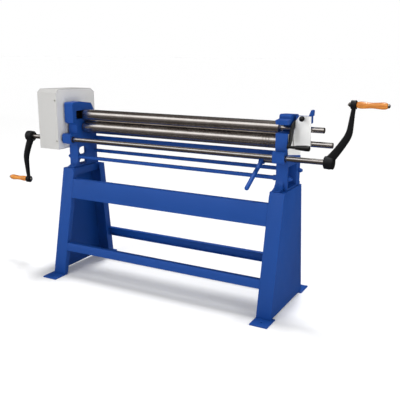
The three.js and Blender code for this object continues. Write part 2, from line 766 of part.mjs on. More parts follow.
function gripBolt(eyeAt) {
  const nutTo = eyeAt - crankEyeLength / 2 - seatGap;
  const nutFrom = nutTo - gripNutLength;
  const headFrom = eyeAt + gripStart + gripLength + gripGap;
  return turned([
    [nutFrom - gripBoltTail, gripBoltRadius],
    [nutFrom, gripBoltRadius],
    [nutFrom, gripNutRadius],
    [nutTo, gripNutRadius],
    [nutTo, gripBoltRadius],
    [headFrom, gripBoltRadius],
    [headFrom, gripHeadRadius],
    [headFrom + gripHeadLength / 2, gripHeadRadius],
    [headFrom + gripHeadLength, gripHeadRadius / 2],
  ], new THREE.Vector3(0, 0, crankRadius), alongX, gripSides);
}

// Turned wooden grip: two long swells with a waist between them
const gripRadius = 13.5;
const gripProfileShares = [
  [0, 0.78], [0.03, 0.86], [0.12, 1], [0.24, 0.98], [0.36, 0.87], [0.5, 0.8], [0.62, 0.85], [0.76, 0.96],
  [0.87, 1], [0.95, 0.9], [1, 0.68],
];

function grip(eyeAt) {
  const gripFrom = eyeAt + gripStart;
  const gripTo = gripFrom + gripLength;
  const profile = gripProfileShares.map(([place, radius]) => [gripFrom + place * gripLength, radius * gripRadius]);
  const body = turned(profile, new THREE.Vector3(0, 0, crankRadius), alongX, gripSides);
  const bore = barX(gripBoltRadius + runningGap, gripFrom - cutOverrun, gripTo + cutOverrun, 0, crankRadius, smallSides);
  return cut(body, bore);
}

// The right crank points up and the left one points down
const crankTurns = { left: Math.PI, right: 0 };
for (const [name, side] of ends) {
  const crank = new THREE.Group();
  crank.position.set(side * crankHubInner[name], driveY, driveZ);
  crank.rotation.y = crankTurns[name];
  machine.add(crank);
  crank.add(piece(`${name}_crank_arm`, crankArm(name), 'blackPaint'));
  crank.add(piece(`${name}_grip_bolt`, gripBolt(crankEyeAt[name]), 'turnedSteel'));
  crank.add(piece(`${name}_crank_grip`, grip(crankEyeAt[name]), 'wood'));
}

// Gear cover: a sheet-metal box over the gears, closed by a back plate that stands off the left head
const coverSheet = 1.5;
const coverX = [-headOuter - 133, -headOuter - 11];
const coverFrontY = -130;
const coverRearY = 165;
const coverFootZ = 625;
const coverOutline = [
  [coverFrontY, coverFootZ], [coverRearY, coverFootZ], [coverRearY, 894], [137, 914.6],
  [-108, 922], [coverFrontY, 906],
];

// The inside of the cover: each corner of the outline moves in by the wall
function coverInside(wall) {
  return coverOutline.map(([y, z]) => [
    THREE.MathUtils.clamp(y, coverFrontY + wall, coverRearY - wall),
    z === coverFootZ ? z + wall : z - wall,
  ]);
}

const coverShaftRoom = 3;
const cover = cut(
  plateX(coverOutline, ...coverX),
  plateX(coverInside(coverSheet), coverX[0] + coverSheet, coverX[1] + cutOverrun),
  barX(driveRadius + coverShaftRoom, coverX[0] - cutOverrun, coverX[0] + cutOverrun, driveY, driveZ),
);
piece('gear_cover', cover, 'greyPaint');

// Back plate with spacers to the head, cut out round the shaft and the roll journals
const spacerRadius = 8;
const spacerPlaces = [[-40, 835], [60, 835], [80, 645], [-50, 645]];
const backPlateX = [coverX[1] - coverSheet - seatGap, coverX[1] - seatGap];
const journalWindow = { y0: -40, y1: 42, z0: 695, z1: 822 };
const backPlate = cut(
  joined(
    plateX(coverInside(coverSheet + seatGap), ...backPlateX),
    ...spacerPlaces.map(([y, z]) => barX(spacerRadius, backPlateX[0], -headOuter - seatGap, y, z, smallSides)),
  ),
  block(backPlateX[0] - cutOverrun, backPlateX[1] + cutOverrun,
    journalWindow.y0, journalWindow.y1, journalWindow.z0, journalWindow.z1),
  barX(driveRadius + coverShaftRoom, backPlateX[0] - cutOverrun, backPlateX[1] + cutOverrun, driveY, driveZ),
);
piece('gear_cover_back_plate', backPlate, 'greyPaint');

// Right end, fixed: a white sheet guard on the outer face of the head, below the slot of the upper roll
const guardSheet = 1.5;
const sideGuardX = [headOuter + seatGap, headOuter + seatGap + guardSheet];
const sideGuardTop = upperRollZ - journalRadius - 3;
const sideGuardOutline = [[-72, 688], [88, 664], [88, sideGuardTop], [-72, sideGuardTop]];
const stubRoom = 3;
piece('right_side_guard', cut(
  plateX(sideGuardOutline, ...sideGuardX),
  barX(journalRadius + stubRoom, sideGuardX[0] - cutOverrun, sideGuardX[1] + cutOverrun, 0, lowerRollZ),
), 'whitePaint');

// Right end, swings out with the upper roll: the outboard bearing carrier with its blue ear
const latchX = [headOuter + 4, headOuter + 10];
const carrierX = [latchX[1] + 1, headOuter + 53];
const carrierFrontY = -18;
const carrierRearY = 20;
const carrierFootZ = upperRollZ - 18;
const carrierTopZ = upperRollZ + 54.5;
const carrierArmX1 = headOuter + 77;
const carrierArmZ = upperRollZ + 26.5;
const carrierArmRearY = 10;
const earY = [-10, 8];
const earOutline = [
  [61, 41], [76, 41], [76, 57], [82, 57], [83.5, 78.5], [80, 82.5], [75, 82.5], [71.5, 79.5], [63, 57],
];
const latchPivotY = 2;
const latchPivotZ = upperRollZ + 28.5;
const latchPinRadius = 5;
const latchPinDepth = 6;
const latchBossRadius = 11;
const knobX = headOuter + 45;
const knobZ = upperRollZ + 47.5;
const knobY = -42;
const knobRadius = 11.5;
const knobStemRadius = 4;
const knobStemEndY = -2;

const carrier = cut(
  joined(
    block(...carrierX, carrierFrontY, carrierRearY, carrierFootZ, carrierTopZ),
    block(carrierX[0], carrierArmX1, carrierFrontY, carrierArmRearY, carrierArmZ, carrierTopZ),
    plateY(earOutline.map(([out, rise]) => [headOuter + out, upperRollZ + rise]), ...earY),
  ),
  barX(journalRadius + runningGap, carrierX[0] - cutOverrun, carrierX[1] + cutOverrun, 0, upperRollZ),
  barX(latchPinRadius + seatGap, carrierX[0] - cutOverrun, carrierX[0] + latchPinDepth + seatGap,
    latchPivotY, latchPivotZ, smallSides),
  turned([[carrierFrontY - cutOverrun, knobStemRadius + runningGap], [knobStemEndY + seatGap, knobStemRadius + runningGap]],
    new THREE.Vector3(knobX, 0, knobZ), alongY, smallSides),
);
piece('upper_bearing_carrier', carrier, 'bluePaint');

// White front guard, folded back along its foot and its right edge, with a cut corner beside the latch lever
const frontGuardX = [latchX[1] + 0.6, headOuter + 78];
const frontGuardZ = [upperRollZ - 68.5, upperRollZ + 56.5];
const frontGuardY = carrierFrontY - seatGap - guardSheet;
const frontGuardLip = 6.5;
const guardCornerCut = [16, 22];
const guardFootStep = [5, 66, 74];
const knobHoleRoom = 1;
const frontGuardBack = frontGuardY + guardSheet;
const frontGuard = cut(
  joined(
    plateY([
      [frontGuardX[0] - guardFootStep[0], frontGuardZ[0] + guardFootStep[1]],
      [frontGuardX[0] - guardFootStep[0], frontGuardZ[0]],
      [frontGuardX[1], frontGuardZ[0]],
      [frontGuardX[1], frontGuardZ[1]],
      [frontGuardX[0] + guardCornerCut[0], frontGuardZ[1]],
      [frontGuardX[0], frontGuardZ[1] - guardCornerCut[1]],
      [frontGuardX[0], frontGuardZ[0] + guardFootStep[2]],
    ], frontGuardY, frontGuardBack),
    block(...frontGuardX, frontGuardY, frontGuardY + frontGuardLip, frontGuardZ[0], frontGuardZ[0] + guardSheet),
    block(frontGuardX[1] - guardSheet, frontGuardX[1], frontGuardY, frontGuardY + frontGuardLip,
      frontGuardZ[0], carrierFootZ),
  ),
  turned([[frontGuardY - cutOverrun, knobStemRadius + knobHoleRoom], [carrierFrontY, knobStemRadius + knobHoleRoom]],
    new THREE.Vector3(knobX, 0, knobZ), alongY, smallSides),
);
piece('front_guard', frontGuard, 'whitePaint');

// Ball knob on a plunger that slides in the carrier
piece('ball_knob_plunger', joined(
  toSolid(new THREE.SphereGeometry(knobRadius, gripSides, gripSides / 2).rotateX(Math.PI / 2).translate(knobX, knobY, knobZ)),
  turned([[knobY, knobStemRadius], [knobStemEndY, knobStemRadius]],
    new THREE.Vector3(knobX, 0, knobZ), alongY, smallSides),
), 'blackPlastic');

// Latch lever: hangs from its pin in front of the journal and carries its grip at the foot
const latchLine = [
  [latchPivotY, latchPivotZ], [-22, 812], [-43, 797], [-54, 776], [-60, 752], [-72, 734], [-90, 725],
];
const latchWidths = [22, 26, 32, 35, 35, 27, 18];
const latchGripX = [headOuter + 39, headOuter + 101];
const latchRodRadius = 6;
const latchFootRadius = 8.5;
const latchGripRadius = 12;
const latchFoot = latchLine[latchLine.length - 1];
const latchLever = cut(
  joined(
    plateX(ribbon(latchLine, latchWidths), ...latchX),
    barX(latchBossRadius, ...latchX, latchPivotY, latchPivotZ),
    barX(latchFootRadius, ...latchX, ...latchFoot, smallSides),
    barX(latchRodRadius, latchX[0], latchGripX[1] - latchGripRadius, ...latchFoot, smallSides),
  ),
  barX(latchPinRadius + runningGap, latchX[0] - cutOverrun, latchX[1] + cutOverrun,
    latchPivotY, latchPivotZ, smallSides),
);
piece('latch_lever', latchLever, 'blackPaint');
piece('latch_pivot_pin',
  barX(latchPinRadius, latchX[0], carrierX[0] + latchPinDepth, latchPivotY, latchPivotZ, smallSides), 'turnedSteel');
const latchGripShares = [[0, 0.62], [0.1, 0.72], [0.7, 1], [0.92, 1], [1, 0.7]];
const latchGripLength = latchGripX[1] - latchGripX[0];
piece('latch_grip', cut(
  turned(latchGripShares.map(([place, radius]) => [latchGripX[0] + place * latchGripLength, radius * latchGripRadius]),
    new THREE.Vector3(0, ...latchFoot), alongX, gripSides),
  barX(latchRodRadius + seatGap, latchGripX[0] - cutOverrun, latchGripX[1] - latchGripRadius + seatGap,
    ...latchFoot, smallSides),
), 'blackPlastic');

// Short cross shaft in the right head with the blue hand lever
const crossShaftInner = headInner - 87;
const handLeverHubLength = 20;
const handLeverHubWall = 7;
const handLeverRadius = 9.5;
const handLeverEnd = [-190, 557];
const crossShaftEnd = headInner + crossShaftSocket - seatGap;
piece('cross_shaft', barX(crossShaftRadius, crossShaftInner, crossShaftEnd, crossShaftY, crossShaftZ), 'darkSteel');

function handLever() {
  const middle = crossShaftInner + handLeverHubLength / 2;
  const hubRadius = crossShaftRadius + handLeverHubWall;
  const hub = barX(hubRadius, crossShaftInner, crossShaftInner + handLeverHubLength, crossShaftY, crossShaftZ);
  const start = new THREE.Vector3(middle, crossShaftY, crossShaftZ);
  const reach = new THREE.Vector3(middle, ...handLeverEnd).sub(start);
  const length = reach.length() + handLeverRadius;
  const roundedEnd = [0.5, 0.8, 1].map((share) => [
    length - handLeverRadius * (1 - Math.sin(share * Math.PI / 2)),
    handLeverRadius * Math.cos(share * Math.PI / 2),
  ]);
  const rod = turned([
    [hubRadius - handLeverHubWall / 2, handLeverRadius],
    [length - handLeverRadius, handLeverRadius],
    ...roundedEnd.slice(0, 2),
  ], start, reach, gripSides);
  const bore = barX(crossShaftRadius + seatGap, crossShaftInner - cutOverrun,
    crossShaftInner + handLeverHubLength + cutOverrun, crossShaftY, crossShaftZ);
  return cut(joined(hub, rod), bore);
}

piece('hand_lever', handLever(), 'bluePaint');

// The origin is on the floor, under the middle of the whole machine
const extent = new THREE.Box3().setFromObject(machine);
const middleOfMachine = extent.getCenter(new THREE.Vector3());
machine.position.set(-middleOfMachine.x, -middleOfMachine.y, -extent.min.z);
machine.updateMatrixWorld(true);

export default machine;
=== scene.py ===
# A hand-driven plate rolling machine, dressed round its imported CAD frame. Metres, +Z up, +X along the rolls.
import math

import bmesh
import bpy
import numpy as np
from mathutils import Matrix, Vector


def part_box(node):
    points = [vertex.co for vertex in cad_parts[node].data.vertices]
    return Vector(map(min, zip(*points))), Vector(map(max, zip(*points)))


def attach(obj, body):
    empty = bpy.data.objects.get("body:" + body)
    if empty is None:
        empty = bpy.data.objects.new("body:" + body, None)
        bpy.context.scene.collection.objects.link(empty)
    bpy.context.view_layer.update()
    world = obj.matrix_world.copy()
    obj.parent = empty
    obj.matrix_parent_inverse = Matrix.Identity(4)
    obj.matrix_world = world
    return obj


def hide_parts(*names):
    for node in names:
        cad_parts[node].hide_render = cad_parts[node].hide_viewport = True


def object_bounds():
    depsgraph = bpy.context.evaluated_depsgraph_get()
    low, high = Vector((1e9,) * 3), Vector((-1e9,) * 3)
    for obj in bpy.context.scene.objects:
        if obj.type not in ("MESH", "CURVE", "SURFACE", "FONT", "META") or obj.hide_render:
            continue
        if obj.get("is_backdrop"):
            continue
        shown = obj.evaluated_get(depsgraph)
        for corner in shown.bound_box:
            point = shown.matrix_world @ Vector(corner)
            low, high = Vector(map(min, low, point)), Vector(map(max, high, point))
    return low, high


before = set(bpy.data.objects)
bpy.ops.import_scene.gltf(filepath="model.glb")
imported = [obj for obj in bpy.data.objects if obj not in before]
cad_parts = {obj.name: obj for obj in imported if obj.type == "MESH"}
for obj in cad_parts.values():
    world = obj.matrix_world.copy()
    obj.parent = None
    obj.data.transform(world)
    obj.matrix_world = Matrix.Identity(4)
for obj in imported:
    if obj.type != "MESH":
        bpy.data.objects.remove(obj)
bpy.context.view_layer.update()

# The stand's folded sheet
# Legs, cross members and foot plates are 3 mm sheet steel, cut, folded on a press brake, welded and
# stove-enamelled in one mid blue. A fold leaves an outer radius of about the sheet's own thickness.

CUT_EDGE = 0.0006
FOLD_ROUND = 0.0012
ENAMEL_BLUE = "#154b9c"
ENAMEL_SHADE = "#124491"
ENAMEL_ROUGHNESS = 0.50
ENAMEL_SPECULAR = 0.25
CLEAR_COAT_ROUGHNESS = 0.25
ORANGE_PEEL = 0.05
ORANGE_PEEL_SIZE = 0.0035
ORANGE_PEEL_DEPTH = 0.0004
COLOUR_DRIFT_SIZE = 0.22
MERGE_DISTANCE = 2e-6
FLAT_WITHIN = math.radians(0.6)
SHARP_FROM = math.radians(28.0)
SMOOTH_TO = math.radians(40.0)


def linear(hex_colour):
    """An sRGB hex colour as linear RGBA."""
    channels = [int(hex_colour[i:i + 2], 16) / 255 for i in (1, 3, 5)]
    return [c / 12.92 if c <= 0.04045 else ((c + 0.055) / 1.055) ** 2.4 for c in channels] + [1.0]


def add(tree, kind, settings=None, links=None, **attributes):
    """Adds one node with its attributes, its socket values and the outputs linked into it."""
    node = tree.nodes.new(kind)
    for name, value in attributes.items():
        setattr(node, name, value)
    for socket, value in (settings or {}).items():
        node.inputs[socket].default_value = value
    for socket, output in (links or {}).items():
        tree.links.new(output, node.inputs[socket])
    return node


def new_material(name):
    """An empty node material with its shader and its object coordinates."""
    material = bpy.data.materials.new(name)
    material.use_nodes = True
    tree = material.node_tree
    shader = tree.nodes["Principled BSDF"]
    place = add(tree, "ShaderNodeTexCoord").outputs["Object"]
    return material, tree, shader, place


def enamel(name, colour, shade, roughness, peel, peel_size, coat):
    """Baked enamel: a colour that drifts a little over the surface, under a gloss with fine orange peel."""
    material, tree, shader, place = new_material(name)
    drift = add(tree, "ShaderNodeTexNoise",
                {"Scale": 1 / COLOUR_DRIFT_SIZE, "Detail": 3.0, "Roughness": 0.55}, {"Vector": place})
    blend = add(tree, "ShaderNodeMix", {"A": linear(colour), "B": linear(shade)},
                {"Factor": drift.outputs["Fac"]}, data_type="RGBA")
    tree.links.new(blend.outputs["Result"], shader.inputs["Base Color"])
    fine = add(tree, "ShaderNodeTexNoise", {"Scale": 1 / peel_size, "Detail": 2.0}, {"Vector": place})
    bump = add(tree, "ShaderNodeBump", {"Strength": peel, "Distance": ORANGE_PEEL_DEPTH},
               {"Height": fine.outputs["Fac"]})
    tree.links.new(bump.outputs["Normal"], shader.inputs["Normal"])
    rough = add(tree, "ShaderNodeMapRange", {"To Min": roughness - 0.05, "To Max": roughness + 0.06},
                {"Value": drift.outputs["Fac"]})
    tree.links.new(rough.outputs["Result"], shader.inputs["Roughness"])
    shader.inputs["Specular IOR Level"].default_value = ENAMEL_SPECULAR
    shader.inputs["Coat Weight"].default_value = coat
    shader.inputs["Coat Roughness"].default_value = CLEAR_COAT_ROUGHNESS
    return material


def new_piece(name, vertices, faces, material, body, slot, smooth_angle=30.0):
    """A mesh object from arrays of corners and faces, shaded smooth up to an angle."""
    mesh = bpy.data.meshes.new(name)
    mesh.from_pydata(np.asarray(vertices).tolist(), [], [list(map(int, face)) for face in faces])
    mesh.validate()
    mesh.materials.append(material)
    piece = bpy.data.objects.new(name, mesh)
    bpy.context.collection.objects.link(piece)
    mesh.shade_smooth()
    mesh.set_sharp_from_angle(angle=math.radians(smooth_angle))
    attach(piece, body)
    return piece


def rounded_copy(node, name, material, body, width, segments):
    """The CAD node's own shape with its flat faces whole again and every edge given a small radius."""
    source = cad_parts[node].data
    mesh = bpy.data.meshes.new(name)
    shape = bmesh.new()
    shape.from_mesh(source)
    bmesh.ops.remove_doubles(shape, verts=shape.verts, dist=MERGE_DISTANCE)
    bmesh.ops.dissolve_limit(shape, angle_limit=FLAT_WITHIN, verts=shape.verts, edges=shape.edges)
    edges = [edge for edge in shape.edges
             if len(edge.link_faces) == 2 and edge.calc_face_angle() > SHARP_FROM]
    bmesh.ops.bevel(shape, geom=edges, offset=width, offset_type="OFFSET", segments=segments, profile=0.5,
                    affect="EDGES", clamp_overlap=True)
    shape.to_mesh(mesh)
    shape.free()
    mesh.materials.clear()
    mesh.materials.append(material)
    mesh.polygons.foreach_set("material_index", np.zeros(len(mesh.polygons), dtype=np.int32))
    mesh.shade_smooth()
    mesh.set_sharp_from_angle(angle=SMOOTH_TO)
    piece = bpy.data.objects.new(name, mesh)
    bpy.context.collection.objects.link(piece)
    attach(piece, body)
    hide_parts(node)
    return piece


stand_enamel = enamel("blue_stove_enamel_on_sheet", ENAMEL_BLUE, ENAMEL_SHADE, ENAMEL_ROUGHNESS, ORANGE_PEEL,
                      ORANGE_PEEL_SIZE, 0.0)

for side in ("left", "right"):
    rounded_copy(f"{side}_leg", f"{side}_leg_folded", stand_enamel, "stand", FOLD_ROUND, 2)
    for corner in ("front", "rear"):
        rounded_copy(f"{corner}_{side}_foot_plate", f"{corner}_{side}_foot_plate_cut", stand_enamel,
                     "stand", CUT_EDGE, 2)
for bar in ("front_upper_beam", "front_lower_bar", "rear_bar"):
    rounded_copy(bar, f"{bar}_folded", stand_enamel, "stand", FOLD_ROUND, 2)

# The two heads
# Grey-iron castings, fettled and painted like the stand, and bored for the shafts. Sand casting leaves soft
# edges and a faint mottle under the paint.

CAST_ROUND = 0.0022
CAST_MOTTLE = 0.35
CAST_MOTTLE_SIZE = 0.011
CAST_MOTTLE_DEPTH = 0.0008


def cast_enamel(name, colour, shade):
    """Enamel over a sand casting: the drift of enamel with a coarser mottle in its bump."""
    material = enamel(name, colour, shade, ENAMEL_ROUGHNESS, ORANGE_PEEL, ORANGE_PEEL_SIZE, 0.0)
    tree = material.node_tree
    shader = tree.nodes["Principled BSDF"]
    place = add(tree, "ShaderNodeTexCoord").outputs["Object"]
    mottle = add(tree, "ShaderNodeTexNoise",
                 {"Scale": 1 / CAST_MOTTLE_SIZE, "Detail": 4.0, "Roughness": 0.6}, {"Vector": place})
    fine = shader.inputs["Normal"].links[0].from_socket
    bump = add(tree, "ShaderNodeBump", {"Strength": CAST_MOTTLE, "Distance": CAST_MOTTLE_DEPTH},
               {"Height": mottle.outputs["Fac"], "Normal": fine})
    tree.links.new(bump.outputs["Normal"], shader.inputs["Normal"])
    return material


casting_enamel = cast_enamel("blue_enamel_on_cast_iron", ENAMEL_BLUE, ENAMEL_SHADE)
for side in ("left", "right"):
    rounded_copy(f"{side}_head", f"{side}_head_casting", casting_enamel, "stand",
                 CAST_ROUND, 3)

# Bushes, bolts and the sliding block
# Turned bronze bushes carry the lower roll and the drive shaft. Under each leg's top plate sit blackened
# hexagon bolts. The upper roll's block is machined steel, dark with oil. The tool marks on all of them are
# drawn coarser than real ones so that they show.

OIL_STAIN_SIZE = 0.035
TOOL_MARK = 0.0012
TOOL_MARK_STRENGTH = 0.15
TOOL_MARK_DEPTH = 0.0002
ALONG_X_ONLY = (1.0, 0.02, 0.02)
TURNED_EDGE = 0.0004
BOLT_EDGE = 0.0005
BLOCK_EDGE = 0.0006


def machined(name, colour, shade, roughness, groove_pitch, groove_axis):
    """Machined metal: its colour, oil stains that darken it, and the fine parallel marks of the tool."""
    material, tree, shader, place = new_material(name)
    stain = add(tree, "ShaderNodeTexNoise", {"Scale": 1 / OIL_STAIN_SIZE, "Detail": 4.0}, {"Vector": place})
    blend = add(tree, "ShaderNodeMix", {"A": linear(colour), "B": linear(shade)},
                {"Factor": stain.outputs["Fac"]}, data_type="RGBA")
    tree.links.new(blend.outputs["Result"], shader.inputs["Base Color"])
    stretch = add(tree, "ShaderNodeMapping", {"Scale": groove_axis}, {"Vector": place})
    marks = add(tree, "ShaderNodeTexNoise", {"Scale": 1 / groove_pitch, "Detail": 2.0},
                {"Vector": stretch.outputs["Vector"]})
    bump = add(tree, "ShaderNodeBump", {"Strength": TOOL_MARK_STRENGTH, "Distance": TOOL_MARK_DEPTH},
               {"Height": marks.outputs["Fac"]})
    tree.links.new(bump.outputs["Normal"], shader.inputs["Normal"])
    rough = add(tree, "ShaderNodeMapRange", {"To Min": roughness - 0.06, "To Max": roughness + 0.12},
                {"Value": stain.outputs["Fac"]})
    tree.links.new(rough.outputs["Result"], shader.inputs["Roughness"])
    shader.inputs["Metallic"].default_value = 1.0
    return material


bronze = machined("turned_bronze", "#b98b4e", "#8a6231", 0.32, TOOL_MARK, ALONG_X_ONLY)
oiled_steel = machined("oiled_machined_steel", "#55534f", "#2c2a28", 0.38, TOOL_MARK, ALONG_X_ONLY)


def square_to(axis):
    """Three unit vectors: along the axis and two square to it."""
    along = Vector(axis).normalized()
    across = along.orthogonal().normalized()
    return np.array(along), np.array(across), np.array(along.cross(across))


def ring_faces(rows, around):
    """Faces of a skin through rows of rings of corners. The two corners after the rings close its ends."""
    ring = np.arange(around)
    row, column = np.meshgrid(np.arange(rows - 1), ring, indexing="ij")
    after = (column + 1) % around
    quads = np.stack([row * around + column, row * around + after,
                      (row + 1) * around + after, (row + 1) * around + column], -1).reshape(-1, 4)
    first = np.stack([np.full(around, rows * around), np.roll(ring, -1), ring], -1)
    last_ring = ring + (rows - 1) * around
    last = np.stack([np.full(around, rows * around + 1), last_ring, np.roll(last_ring, -1)], -1)
    return [*quads.tolist(), *first.tolist(), *last.tolist()]


def turned(profile, centre, axis, sides):
    """A surface of revolution: at each profile place along the axis, a ring of the profile's radius.
    Rings are joined by quads, and the first and last ring close to a point on the axis."""
    along, across, up = square_to(axis)
    places, radii = np.array(profile, float).T
    angle = np.linspace(0, 2 * np.pi, sides, endpoint=False)
    spoke = np.cos(angle)[:, None] * across + np.sin(angle)[:, None] * up
    rings = np.array(centre) + places[:, None, None] * along + radii[:, None, None] * spoke
    ends = np.array(centre) + np.array([[places[0]], [places[-1]]]) * along
    return np.concatenate([rings.reshape(-1, 3), ends]), ring_faces(len(places), sides)


for side in ("left", "right"):
    for bush in ("lower_roll", "drive_shaft"):
        rounded_copy(f"{side}_{bush}_bush", f"{side}_{bush}_bush_turned", bronze, "stand",
                     TURNED_EDGE, 2)
    for place in ("front", "rear"):
        rounded_copy(f"{side}_head_bolt_{place}", f"{side}_head_bolt_{place}_hexagon", oiled_steel, "stand",
                     BOLT_EDGE, 2)
    rounded_copy(f"{side}_bending_block", f"{side}_bending_block_machined", oiled_steel, "bending_carriage",
                 BLOCK_EDGE, 2)
rounded_copy("upper_roll_sliding_block", "upper_roll_sliding_block_machined", oiled_steel, "upper_carriage",
             BLOCK_EDGE, 2)

# The three rolls
# Solid bars of medium-carbon steel, turned, ground and left bare under a film of oil, with turned-down
# journals. Round wire grooves are turned into the right end of the lower roll and of the bending roll. The
# grinding marks are drawn coarser than real ones so that they show.

ROLL_RADIUS = 0.029
ROLL_HALF = 0.525
JOURNAL_RADIUS = 0.012
ROLL_SIDES = 96
END_CHAMFER = 0.0012
CENTRE_HOLE_RADIUS = 0.0032
CENTRE_HOLE_DEPTH = 0.0035
CENTRE_HOLE_TIP = 0.0001
GROOVE_MIDDLES = (0.456, 0.470, 0.484)
GROOVE_RADIUS = 0.0025
BROWN_PATCH_SIZE = 0.09
GRIND_PITCH = 0.0011
GRIND_STRENGTH = 0.002
GRIND_DEPTH = 0.0001
BAND_PITCH = 12 * GRIND_PITCH
GRIND_RINGS = (1.0, 0.012, 0.012)


def ground_steel(name, colour, stain_colour, roughness):
    """Bare ground steel: fine rings left by the wheel, a few broader bands, and patches of brown oil."""
    material, tree, shader, place = new_material(name)
    patches = add(tree, "ShaderNodeTexNoise",
                  {"Scale": 1 / BROWN_PATCH_SIZE, "Detail": 5.0, "Roughness": 0.62}, {"Vector": place})
    worn = add(tree, "ShaderNodeMapRange", {"From Min": 0.40, "From Max": 0.75, "To Max": 0.35},
               {"Value": patches.outputs["Fac"]})
    blend = add(tree, "ShaderNodeMix", {"A": linear(colour), "B": linear(stain_colour)},
                {"Factor": worn.outputs["Result"]}, data_type="RGBA")
    tree.links.new(blend.outputs["Result"], shader.inputs["Base Color"])
    stretch = add(tree, "ShaderNodeMapping", {"Scale": GRIND_RINGS}, {"Vector": place})
    rings = add(tree, "ShaderNodeTexNoise", {"Scale": 1 / GRIND_PITCH, "Detail": 3.0, "Roughness": 0.7},
                {"Vector": stretch.outputs["Vector"]})
    bands = add(tree, "ShaderNodeTexNoise", {"Scale": 1 / BAND_PITCH, "Detail": 2.0},
                {"Vector": stretch.outputs["Vector"]})
    bump = add(tree, "ShaderNodeBump", {"Strength": GRIND_STRENGTH, "Distance": GRIND_DEPTH},
               {"Height": rings.outputs["Fac"]})
    tree.links.new(bump.outputs["Normal"], shader.inputs["Normal"])
    rough = add(tree, "ShaderNodeMapRange", {"From Min": 0.3, "From Max": 0.7, "To Min": roughness - 0.01,
                                             "To Max": roughness + 0.02}, {"Value": bands.outputs["Fac"]})
    tree.links.new(rough.outputs["Result"], shader.inputs["Roughness"])
    shader.inputs["Metallic"].default_value = 1.0
    return material


def shaft_end(place, inwards, radius):
    """Profile points of a shaft's end from its centre hole out over the face and round the chamfer."""
    return [(place + inwards * CENTRE_HOLE_DEPTH, CENTRE_HOLE_TIP), (place, CENTRE_HOLE_RADIUS),
            (place, radius - END_CHAMFER), (place + inwards * END_CHAMFER, radius)]


def axis_of(low, high):
    """The place at x = 0 on the axis of a round node, from its box."""
    return 0.0, (low[1] + high[1]) / 2, (low[2] + high[2]) / 2


def wire_groove(middle, radius):
    """Profile points of a half-round groove turned into a roll of that radius."""
    steps = np.linspace(-np.pi / 2, np.pi / 2, 9)
    return [(middle + GROOVE_RADIUS * math.sin(a), radius - GROOVE_RADIUS * math.cos(a)) for a in steps]


bare_steel = ground_steel("oiled_ground_steel", "#c4bfbb", "#92857b", 0.22)
for node, body, grooved in (("lower_roll", "lower_roll", True), ("upper_roll", "upper_roll", False),
                            ("bending_roll", "bending_roll", True)):
    low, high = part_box(node)
    centre = axis_of(low, high)
    profile = [*shaft_end(low[0], 1, JOURNAL_RADIUS), (-ROLL_HALF, JOURNAL_RADIUS),
               (-ROLL_HALF, ROLL_RADIUS - END_CHAMFER), (-ROLL_HALF + END_CHAMFER, ROLL_RADIUS)]
    for place in GROOVE_MIDDLES if grooved else ():
        profile += wire_groove(place, ROLL_RADIUS)
    profile += [(ROLL_HALF - END_CHAMFER, ROLL_RADIUS), (ROLL_HALF, ROLL_RADIUS - END_CHAMFER),
                (ROLL_HALF, JOURNAL_RADIUS), *shaft_end(high[0], -1, JOURNAL_RADIUS)[::-1]]
    vertices, faces = turned(profile, centre, (1, 0, 0), ROLL_SIDES)
    piece = new_piece(f"{node}_ground", vertices, faces, bare_steel, body, "ground_steel")
    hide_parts(node)

# Gears
# Hobbed steel spur gears, blackened and greased. The nip pair turns the upper roll from the lower one, and
# the pinion on the drive shaft turns the large gear on the lower roll.

GREASED_BLACK = "#3b3936"
GREASE = "#1d1a17"
TOOTH_EDGE = 0.0003

greased_steel = machined("greased_gear_steel", GREASED_BLACK, GREASE, 0.34, TOOL_MARK, ALONG_X_ONLY)
for node, body in (("lower_nip_gear", "lower_roll"), ("upper_nip_gear", "upper_roll"),
                   ("lower_roll_drive_gear", "lower_roll"), ("drive_pinion", "drive")):
    rounded_copy(node, f"{node}_hobbed", greased_steel, body, TOOTH_EDGE, 1)

# Tie rods, cap nuts and tie beam
# Turned steel rods draw the heads together under hexagon cap nuts, and a flat bar on edge stiffens the
# back. All of them were painted with the machine after assembly.

ROD_RADIUS = 0.009
ROD_SPIGOT_RADIUS = 0.006
COLLAR_RADIUS = 0.012
COLLAR_LENGTH = 0.016
COLLAR_EDGE = 0.0012
HEAD_INNER = 0.535
HEAD_OUTER = 0.587
SEAT_GAP = 0.0003
SHOULDER = HEAD_INNER - SEAT_GAP
NUT_CORNER_RADIUS = 0.011
NUT_WASHER_RADIUS = 0.0125
NUT_WASHER = 0.0015
NUT_WASHER_EDGE = 0.0004
NUT_LENGTH = 0.0075
NUT_OVERLAP = 0.0002
NUT_ROUND = 0.0006
ROD_SIDES = 48
HEXAGON = 6
DOME_RADIUS = 0.0088
DOME_LENGTH = 0.017
DOME_FULLNESS = 0.7
DOME_TIP = 0.1


def joined_shapes(*shapes):
    """Several sets of corners and faces as one."""
    vertices, faces = [], []
    for corners, sides in shapes:
        faces += [[index + len(vertices) for index in side] for side in sides]
        vertices += np.asarray(corners).tolist()
    return vertices, faces


def bevelled(piece, width):
    """A Bevel modifier that rounds the piece's sharp edges."""
    modifier = piece.modifiers.new("rounded_edges", "BEVEL")
    modifier.width = width
    modifier.segments = 2
    modifier.limit_method = "ANGLE"
    modifier.angle_limit = SMOOTH_TO
    return piece


